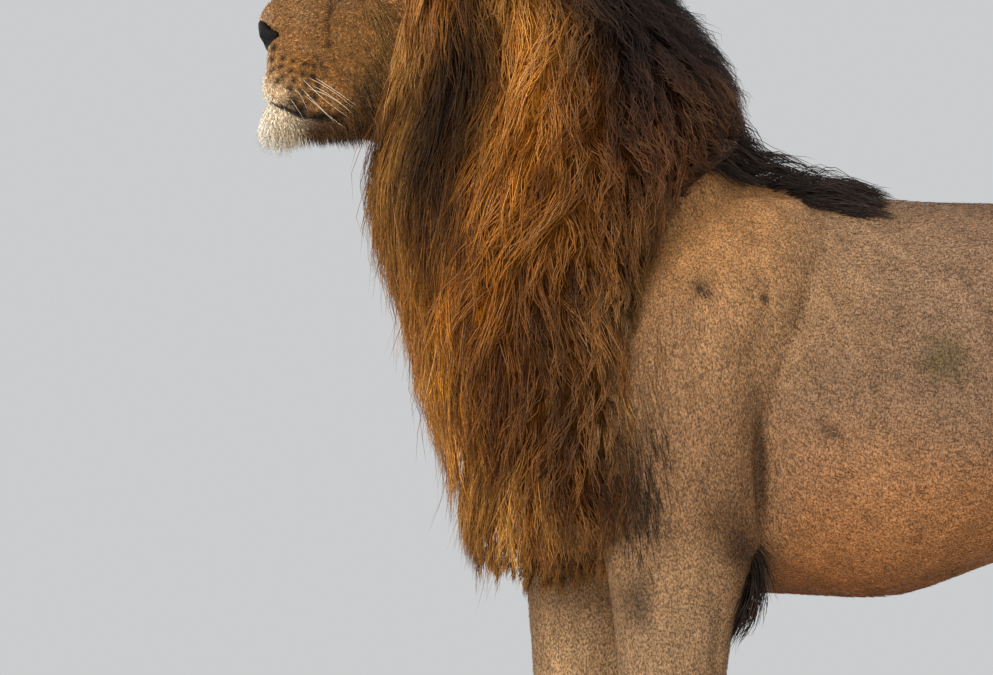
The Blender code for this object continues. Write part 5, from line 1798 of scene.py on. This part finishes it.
def eye_globe():
    """The globe, flattened to a dish inside the iris's edge, with its colours by radius."""
    front, rest = np.linspace(0.01, IRIS_ANGLE - 0.01, 26), np.linspace(IRIS_ANGLE, np.pi - 0.02, 26)
    theta = np.concatenate([front, rest])
    along, out = EYE_RADIUS * np.cos(theta), EYE_RADIUS * np.sin(theta)
    dish = EYE_RADIUS * math.cos(IRIS_ANGLE) + 0.0010 * (1 - (out / (EYE_RADIUS * math.sin(IRIS_ANGLE))) ** 2)
    along = np.where(theta < IRIS_ANGLE, dish, along)
    rings = turned(along, out)
    table = np.array([linear(code) for _, code in EYE_RINGS])
    radius = np.where(theta < 1.57, out, 0.03)
    stops = [stop for stop, _ in EYE_RINGS]
    colour = np.stack([np.interp(radius, stops, table[:, i]) for i in range(3)], axis=1)
    streak = 1 + 0.22 * np.cos(2 * np.pi * np.arange(48) * 17 / 48 + 3 * np.sin(np.arange(48)))
    inside = ((radius > 0.0039) & (radius < 0.0106))[:, None, None]
    colour = colour[:, None] * np.where(inside, streak[None, :, None], 1.0)
    points, quads = grid_mesh(rings)
    ends = np.stack([colour[0], *colour, colour[-1]])
    return points, quads, ends.reshape(-1, 3)


def cornea():
    """A clear dome, a little steeper than the globe, with an inner face so that it is closed."""
    t = np.linspace(0.01, 1.10, 16)  # its edge lies under the globe's surface
    out = 0.0119 * t
    dome = EYE_RADIUS + 0.0006 - (EYE_RADIUS + 0.0006 - EYE_RADIUS * math.cos(0.66)) * t**2
    back = dome[::-1] - 0.0006
    return grid_mesh(turned(np.concatenate([dome, back]), np.concatenate([out, out[::-1] * 0.985])))

# %% [markdown]
# The iris is matt under the cornea, which alone has the wet shine: it is clear, so light reaches the iris.

# %% Materials and pieces of the eyes
EYE_SURFACE = coat_material("eye_iris_and_sclera", 0.40, 0.10)
CORNEA = plain_material("cornea", "000000", Alpha=0.28, Roughness=0.04, IOR=1.376)  # IOR of a living cornea


def outward(points, faces):
    """The faces, turned if the volume they enclose comes out negative."""
    a, b, c = points[faces[:, 0]], points[faces[:, 1]], points[faces[:, 2]]
    volume = (a * np.cross(b, c)).sum()
    if faces.shape[1] == 4:
        volume += (a * np.cross(c, points[faces[:, 3]])).sum()
    return faces if volume > 0 else faces[:, ::-1]


points, quads, colours = eye_globe()
for side, name in ((1, "left"), (-1, "right")):
    ball = points * [side, 1, 1]
    eye = EYE_SURFACE, "eye_amber", (f"eye_{name}",), colours
    finished(f"eyeball_{name}", ball, outward(ball, quads), *eye)
    lens, lens_faces = cornea()
    lens = lens * [side, 1, 1]
    finished(f"cornea_{name}", lens, outward(lens, lens_faces), CORNEA, "eye_amber")

# %% [markdown]
# ## Nose, lips, lids and whiskers
#
# The nose leather is bare, black and finely pebbled, wide above and narrow where it runs down to the cleft of
# the lip. The nostrils are commas that open forwards and to the sides. It is a separate pad, because its
# furrows are finer than the skin's lattice could hold.

# %% Nose leather
def nose_mesh():
    """A pad between the nose's face and 9 mm behind it, dented by Gaussian furrows: nostrils and cleft."""
    z = np.linspace(NOSE_FACE[0][0], NOSE_FACE[-1][0], 70)[:, None]
    a = 2 * np.pi * np.arange(160)[None] / 160
    _, half = nose_face(0, z)
    across = np.sign(np.cos(a)) * np.abs(np.cos(a)) ** 0.8
    x = half * across
    face, _ = nose_face(x, z)
    edge = np.clip(np.minimum(z[0] - z, z - z[-1]) / 0.003, 0, 1) ** 0.5
    behind = (0.0020 + 0.0100 * edge) * (1 - np.abs(across) ** 8)
    y = face + np.where(np.sin(a) > 0, 0.0015 * (1 - edge), behind)
    rings = np.stack([x, y, z + 0 * a], axis=-1)
    front = (np.sin(a) > 0) & (edge > 0)
    at = mirror_only(rings.reshape(-1, 3))
    stops = np.array([(0.0085, 0, 1.2452), (0.0145, 0, 1.2500), (0.0215, 0, 1.2515), (0.0285, 0, 1.2480)])
    stops[:, 1] = nose_face(stops[:, 0], stops[:, 2])[0]
    hole = np.exp(-0.5 * (from_path(at, stops) / 0.0028) ** 2)
    wing = np.exp(-0.5 * (from_path(at, stops + [0.0005, -0.0005, 0.0062]) / 0.0036) ** 2)
    cleft = np.exp(-0.5 * (at[:, 0] / 0.0012) ** 2) * np.clip((1.260 - at[:, 2]) / 0.006, 0, 1)
    dent = (0.0056 * hole - 0.0012 * wing + 0.0016 * cleft).reshape(front.shape) * front
    rings[..., 1] += dent
    return grid_mesh(rings)


leather = {"Roughness": 0.50, "Specular IOR Level": 0.22, "IOR": 1.45}  # dull, and damp at most
LEATHER = plain_material("nose_leather", "0d0908", **leather)
tree = LEATHER.node_tree
shader = tree.nodes["Principled BSDF"]
where = node(tree, "ShaderNodeTexCoord")
pebbles = node(tree, "ShaderNodeTexVoronoi", Vector=where.outputs["Object"], Scale=700.0)  # cells of 1.4 mm
height = pebbles.outputs["Distance"]
bump = node(tree, "ShaderNodeBump", {"invert": True}, Strength=0.5, Distance=0.0006, Height=height)
tree.links.new(bump.outputs["Normal"], shader.inputs["Normal"])
points, quads = nose_mesh()
finished("nose_leather", points, outward(points, quads), LEATHER, "nose_leather", ("nose",))

# %% [markdown]
# The lids' edges and the lower lip are rolls of bare skin, 2 to 8 mm thick. They are tubes on the lines that
# the skin's furrows already follow, so that each roll fills its furrow and no gap is left beside the eye.

# %% Rolls along the lids and lips
def roll(path, radius, sides=8, closed=False):
    """A tube of round section along a path; its ends shrink to points unless the path is closed."""
    path = np.asarray(path, float)
    ahead = np.gradient(path, axis=0) if not closed else np.roll(path, -1, 0) - np.roll(path, 1, 0)
    ahead = unit_rows(ahead)
    side = unit_rows(np.cross(ahead, [0.13, 0.21, 0.97]))
    up = np.cross(ahead, side)
    radius = np.broadcast_to(radius, len(path))[:, None, None]
    a = 2 * np.pi * np.arange(sides) / sides
    rings = path[:, None] + radius * (np.cos(a)[:, None] * side[:, None] + np.sin(a)[:, None] * up[:, None])
    if not closed:
        return grid_mesh(rings)
    count = len(path)
    s, r = np.arange(sides), (np.arange(count) * sides)[:, None]
    n, q = np.roll(s, -1), (np.roll(np.arange(count), -1) * sides)[:, None]
    return rings.reshape(-1, 3), np.stack([r + s, r + n, q + n, q + s], axis=-1).reshape(-1, 4)

# %% Lids and lower lip
LIP_SKIN = plain_material("dark_bare_skin", "120b08", **{"Roughness": 0.50, "Specular IOR Level": 0.3})
loop = EYE_AT + lid_line(72) * (EYE_RADIUS + 0.0003)
lids = roll(loop, 0.0010, closed=True)
t = np.linspace(0, 1, 40)
lip_along = arc_length(MOUTH_LINE)
half_lip = np.stack([np.interp(t * lip_along[-1], lip_along, MOUTH_LINE[:, i]) for i in range(3)], axis=1)
half_lip[:, 2] -= 0.0018
half_lip[:, 0] -= 0.0012 * np.clip(half_lip[:, 0] / 0.02, 0, 1)
lip_path = np.concatenate([half_lip[::-1] * [-1, 1, 1], half_lip[1:]])
ends = np.sin(np.linspace(0.05, np.pi - 0.05, len(lip_path))) ** 0.5
thickness = [0.018, 0.036, 0.055, 0.10], [0.0018, 0.0026, 0.0040, 0.0034]  # y and the roll's radius there
lip_radius = ends * np.interp(np.abs(lip_path[:, 1]), *thickness)
parts = []
for points, quads in (lids, to_right(lids), roll(lip_path, lip_radius)):
    parts.append((points, outward(points, quads)))
finished("lids_and_lip", *joined(parts), LIP_SKIN, "nose_leather")

# %% [markdown]
# Whiskers are pale stiff hairs, thicker than the rest, that stand in rows on the muzzle's sides. There are
# few of them, so each one has its root and its tip in a table, and a bow that makes it stand away.

# %% Whiskers
WHISKERS = np.array(rows_of("""root_y root_z tip_y tip_z
55 1199 115 1150
62 1201 121 1160
70 1201 124 1163
62 1188 116 1157
66 1192 119 1153
54 1188 110 1137
57 1180 97 1143
47 1187 62 1159
40 1176 58 1148"""), float) / 1000


def whiskers():
    """Tapering hairs out to the side, back and down: root + reach t + (sag + bow) sin(pi t)."""
    ends = WHISKERS
    count = len(ends)
    roots = snapped(head_tree, [(0.1, y, z) for y, z in ends[:, :2]], (-1, 0, 0))
    across = np.linalg.norm(ends[:, 2:] - ends[:, :2], axis=1) * rng.uniform(0.5, 0.8, count)
    t = np.linspace(0, 1, 9)[None, :, None]
    reach = np.stack([across, ends[:, 2] - ends[:, 0], ends[:, 3] - ends[:, 1]], axis=1)[:, None]
    sag = np.stack([0 * across, 0 * across, rng.uniform(-0.004, 0.005, count)], axis=1)[:, None]
    bow = np.stack([across * 0.3, 0 * across, 0 * across], axis=1)[:, None]
    lines = roots[:, None] + reach * t + (sag + bow) * np.sin(np.pi * t)
    widths = 0.00065 * rng.uniform(0.8, 1.1, (count, 1)) * np.linspace(1, 0, 9)[None] ** 0.7
    return strand_mesh(lines, widths, np.tile([0.3, 0, 1.0], (count, 1)), flat=1.0)


BRISTLE = plain_material("whisker_keratin", "e8dcc4", Roughness=0.35, IOR=KERATIN_IOR)
points, faces = whiskers()
mirrored = points * [-1, 1, 1]
both = joined([(points, outward(points, faces)), (mirrored, outward(mirrored, faces))])
finished("whiskers", *both, BRISTLE, "coat_tan")

# %% [markdown]
# ## Claws
#
# A standing lion keeps its claws drawn in, so only a dark tip of horn shows over each toe.

# %% Claws
CLAW = plain_material("claw_horn", "4a3c30", Roughness=0.35)
claws = []
FEET = ((FORELEG[-2].x, FORE_TOES, FORE_STRIDE), (HIND_LEG[-2].x, HIND_TOES, HIND_STRIDE))
for x, toe_front, stride in FEET:
    for across in TOES:
        y, place = toe_front + 0.014 * across**2, x + TOE_SPREAD * across
        bend = np.linspace(0, 1, 10)
        path = np.stack([np.full(10, place), y + 0.010 - 0.012 * bend, 0.026 - 0.012 * bend**1.8], axis=1)
        claw, quads = roll(path, 0.0032 * (1 - bend**1.5) + 0.0002)
        quads = outward(claw, quads)
        claws += [(claw, quads), to_right((claw - [0, stride, 0], quads[:, ::-1]))]
finished("claws", *joined(claws), CLAW, "nose_leather")

# %% [markdown]
# ## Longer hair
#
# The chin's beard, the jaw's edge, the ears' fringes and the forelock are hair of middling length. So is the
# mane's own edge over the shoulder. Strands grow round a place, thinner with distance.

# %% Hair of middling length
def sparse_hair(surface, place, reach, count, length, width, lie, dark, light, chart):
    """Strands of middling length round one place of the skin, on both sides of it."""
    spots, normals = scatter(*surface, 90000, rng)
    share = near(mirror_only(spots), np.array(place), np.array(reach))
    chosen = np.nonzero(rng.random(len(spots)) < share)[0][:count]
    spots, normals = spots[chosen], normals[chosen]
    way = np.array(lie) * np.stack([np.sign(spots[:, 0]), np.ones(len(spots)), np.ones(len(spots))], axis=1)
    way = unit_rows(way + 0.35 * normals + rng.normal(size=spots.shape) * 0.10)
    t = np.linspace(0, 1, 4)[None, :, None]
    size = (length * rng.uniform(0.6, 1.15, len(spots)))[:, None, None]
    lines = spots[:, None] + size * (t * way[:, None] + 0.25 * t**2 * np.array([0, 0, -1.0]))
    widths = width * rng.uniform(0.8, 1.2, (len(spots), 1)) * np.array([[0.9, 1.0, 0.7, 0.0]])
    mix = np.clip(rng.normal(0.5, 0.25, (len(spots), 1, 1)) + 0 * t, 0, 1)
    colours = linear(dark) * (1 - mix) + linear(light) * mix
    points, tris = strand_mesh(lines, widths, normals)
    return points, tris, per_vertex(colours), strand_uv(unwrap(spots, chart), 4)


SPARSE = """x y z reach_x reach_y reach_z count length width lie_x lie_y lie_z dark light
0 13 1148  15 8 10  800 19 0.7  -0.2 -0.3 -1  dccbb0 fffaf0  # chin
0 16 1140  18 10 8  700 19 0.7  -0.3 0.25 -1  dccbb0 fffaf0
20 32 1140  20 10 10  700 15 0.7  0 0.45 -1  b89c72 efe0c4
10 10 1190  16 8 8  700 8.5 0.7  0.1 -0.55 -1  d8c6a8 fff6e6
7 9 1206  7 5 9  500 6 0.7  0.25 -0.1 -1  e4d0b0 fff6e6  # lip
40 75 1134  20 16 6  500 12 0.8  0.1 0.5 -1  20120a 6b4a2a  # jaw
60 112 1140  20 14 10  500 15 0.9  0.1 0.5 -1  20120a 6b4a2a
104 236 1400  20 12 34  500 22 1  0.3 -0.3 1  b49468 e0cba4  # in the ears
118 262 1440  26 20 16  400 13 1  0.4 0.2 1  6c4a28 b0885a  # ears' rims
98 134 1180  14 10 30  450 17 1  0.3 0.7 -0.8  2c1c0c 7c5c34  # cheek's edge
0 315 1430  60 50 30  900 55 1  0 1 0.25  2a180c 6a4828  # crown
104 146 1260  14 10 34  450 18 1  0.4 0.7 -0.8  54380f a07a48
0 262 1425  55 24 30  1500 42 1  0 1 0.4  3c2410 94683a  # forelock
0 290 1435  40 20 30  900 50 1  0 1 0.3  2a180c 6a4828
60 230 1420  30 18 30  500 26 1  0.15 1 0.3  5a3a1c a67c4a"""
# Short hair where the mane runs out over the shoulder.
EDGE_OF_MANE = """y z dark light
528 1060 4a2c16 946a44
484 1000 4a2f18 967048
460 930 543a22 9c7850
452 860 54381f 987248
452 790 4c3420 90704c
456 735 1c120b 54402f
456 690 1c120b 54402f"""
parts = []
for *words, dark, light in rows_of(SPARSE):
    *sizes, lie_x, lie_y, lie_z = (float(word) for word in words)
    *place, reach_x, reach_y, reach_z, count, hair_length, hair_width = sizes
    place, reach = [value / 1000 for value in place], [value / 1000 for value in (reach_x, reach_y, reach_z)]
    hair = int(count), hair_length / 1000, hair_width / 1000, (lie_x, lie_y, lie_z), dark, light
    parts.append(sparse_hair((head_points, head_faces), place, reach, *hair, "head"))
for y, z, dark, light in rows_of(EDGE_OF_MANE):
    hair = 420, 0.026, 0.0010, (0, 0.25, -1), dark, light
    edge = (0.19, float(y) / 1000, float(z) / 1000), (0.06, 0.018, 0.030)
    parts.append(sparse_hair((body_points, body_faces), *edge, *hair, "trunk"))
points, faces = joined([part[:2] for part in parts])
colours, uv = (np.concatenate([part[i] for part in parts]) for i in (2, 3))
finished("longer_hair", points, faces, SHORT_FUR, "coat_tan", (), colours, uv)
# %% [markdown]
# ## Floor, light and camera
#
# The model stands on a pale floor in soft light, as under a thin cloud. The floor is a disc that fades into
# the background, so that no edge shows from any side.


# %% Floor
def disc(radius, rings=24, sides=96):
    """A flat disc at z = 0: radius r from 0 to the edge, angle a round it."""
    r = radius * np.linspace(0, 1, rings)[1:, None]
    a = 2 * np.pi * np.arange(sides)[None] / sides
    points = np.stack([r * np.cos(a), r * np.sin(a), 0 * r * a], axis=-1).reshape(-1, 3)
    s = np.arange(sides)
    base = (np.arange(rings - 2) * sides)[:, None]
    n = np.roll(s, -1)
    quads = np.stack([base + s, base + sides + s, base + sides + n, base + n], axis=-1).reshape(-1, 4)
    fan = np.stack([np.full(sides, len(points)), s, n], axis=-1)
    faces = np.concatenate([quads[:, [0, 1, 2]], quads[:, [0, 2, 3]], fan])
    return np.concatenate([points, [[0, 0, 0]]]), faces


FLOOR_RADIUS, FADES_FROM, FADES_TO = 7.0, 1.6, 6.8
floor = mesh_object("floor", *disc(FLOOR_RADIUS))
matt = {"Roughness": 0.9, "Specular IOR Level": 0.1}
floor_paint = plain_material("matt_floor_paint", "bcbcba", **matt)
tree = floor_paint.node_tree
shader = tree.nodes["Principled BSDF"]
where = node(tree, "ShaderNodeTexCoord")
radius = node(tree, "ShaderNodeVectorMath", {"operation": "LENGTH"}, i0=where.outputs["Object"])
soft = {"interpolation_type": "SMOOTHERSTEP"}
fade = node(tree, "ShaderNodeMapRange", soft, i0=radius.outputs["Value"], i1=FADES_FROM, i2=FADES_TO)
clear = node(tree, "ShaderNodeBsdfTransparent")
faded = node(tree, "ShaderNodeMixShader", i0=fade.outputs[0], i1=shader.outputs[0], i2=clear.outputs[0])
tree.links.new(faded.outputs[0], tree.nodes["Material Output"].inputs["Surface"])
floor.data.materials.append(floor_paint)
bpy.context.scene.view_settings.view_transform = "Standard"  # colours as they are, with no film curve
print("floor", len(floor.data.polygons), "faces")

# %% [markdown]
# A pale sky lights everything evenly. Four soft lamps add the modelling: a warm key from ahead and the left,
# a low fill, a weak one above and a cool one on the far side.

# %% Sky and lamps
world = bpy.data.worlds.new("studio")
bpy.context.scene.world = world
world.use_nodes = True
sky = world.node_tree.nodes["Background"]
sky.inputs["Color"].default_value = (0.80, 0.81, 0.82, 1)
sky.inputs["Strength"].default_value = 0.75


def area_light(name, place, aim, size, power, colour):
    """A square soft light at a place, turned to face a point."""
    lamp = bpy.data.lights.new(name, "AREA")
    lamp.size, lamp.energy, lamp.color = size, power, colour
    held = bpy.data.objects.new(name, lamp)
    held.location = place
    held.rotation_euler = (Vector(aim) - Vector(place)).to_track_quat("-Z", "Y").to_euler()
    bpy.context.scene.collection.objects.link(held)


area_light("key", (4.2, -3.4, 2.7), (0, -0.3, 0.9), 2.6, 250, (1.0, 0.96, 0.90))
area_light("low_fill", (5.0, -0.4, 0.7), (0, 0, 0.7), 3.0, 110, (1.0, 0.97, 0.93))
area_light("top", (0.4, 0.3, 4.2), (0, 0.1, 0.8), 3.2, 25, (0.97, 0.98, 1.0))
area_light("far_side", (-3.6, 1.4, 2.0), (0, 0, 0.9), 2.8, 110, (0.95, 0.97, 1.0))

print("four lamps")

# %% [markdown]
# The camera is 12 m to the lion's left, level, at the height of the shoulder, with a long lens.

# %% Camera
camera_data = bpy.data.cameras.new("camera")
camera_data.sensor_width, camera_data.lens = 36.0, 362.5
camera = bpy.data.objects.new("camera", camera_data)
camera.location = (12.0, 0.286 + NOSE_Y, 0.891)
camera.rotation_euler = (math.pi / 2, 0, math.pi / 2)
bpy.context.scene.collection.objects.link(camera)
bpy.context.scene.camera = camera
print("camera", tuple(round(value, 3) for value in camera.location), camera_data.lens, "mm")
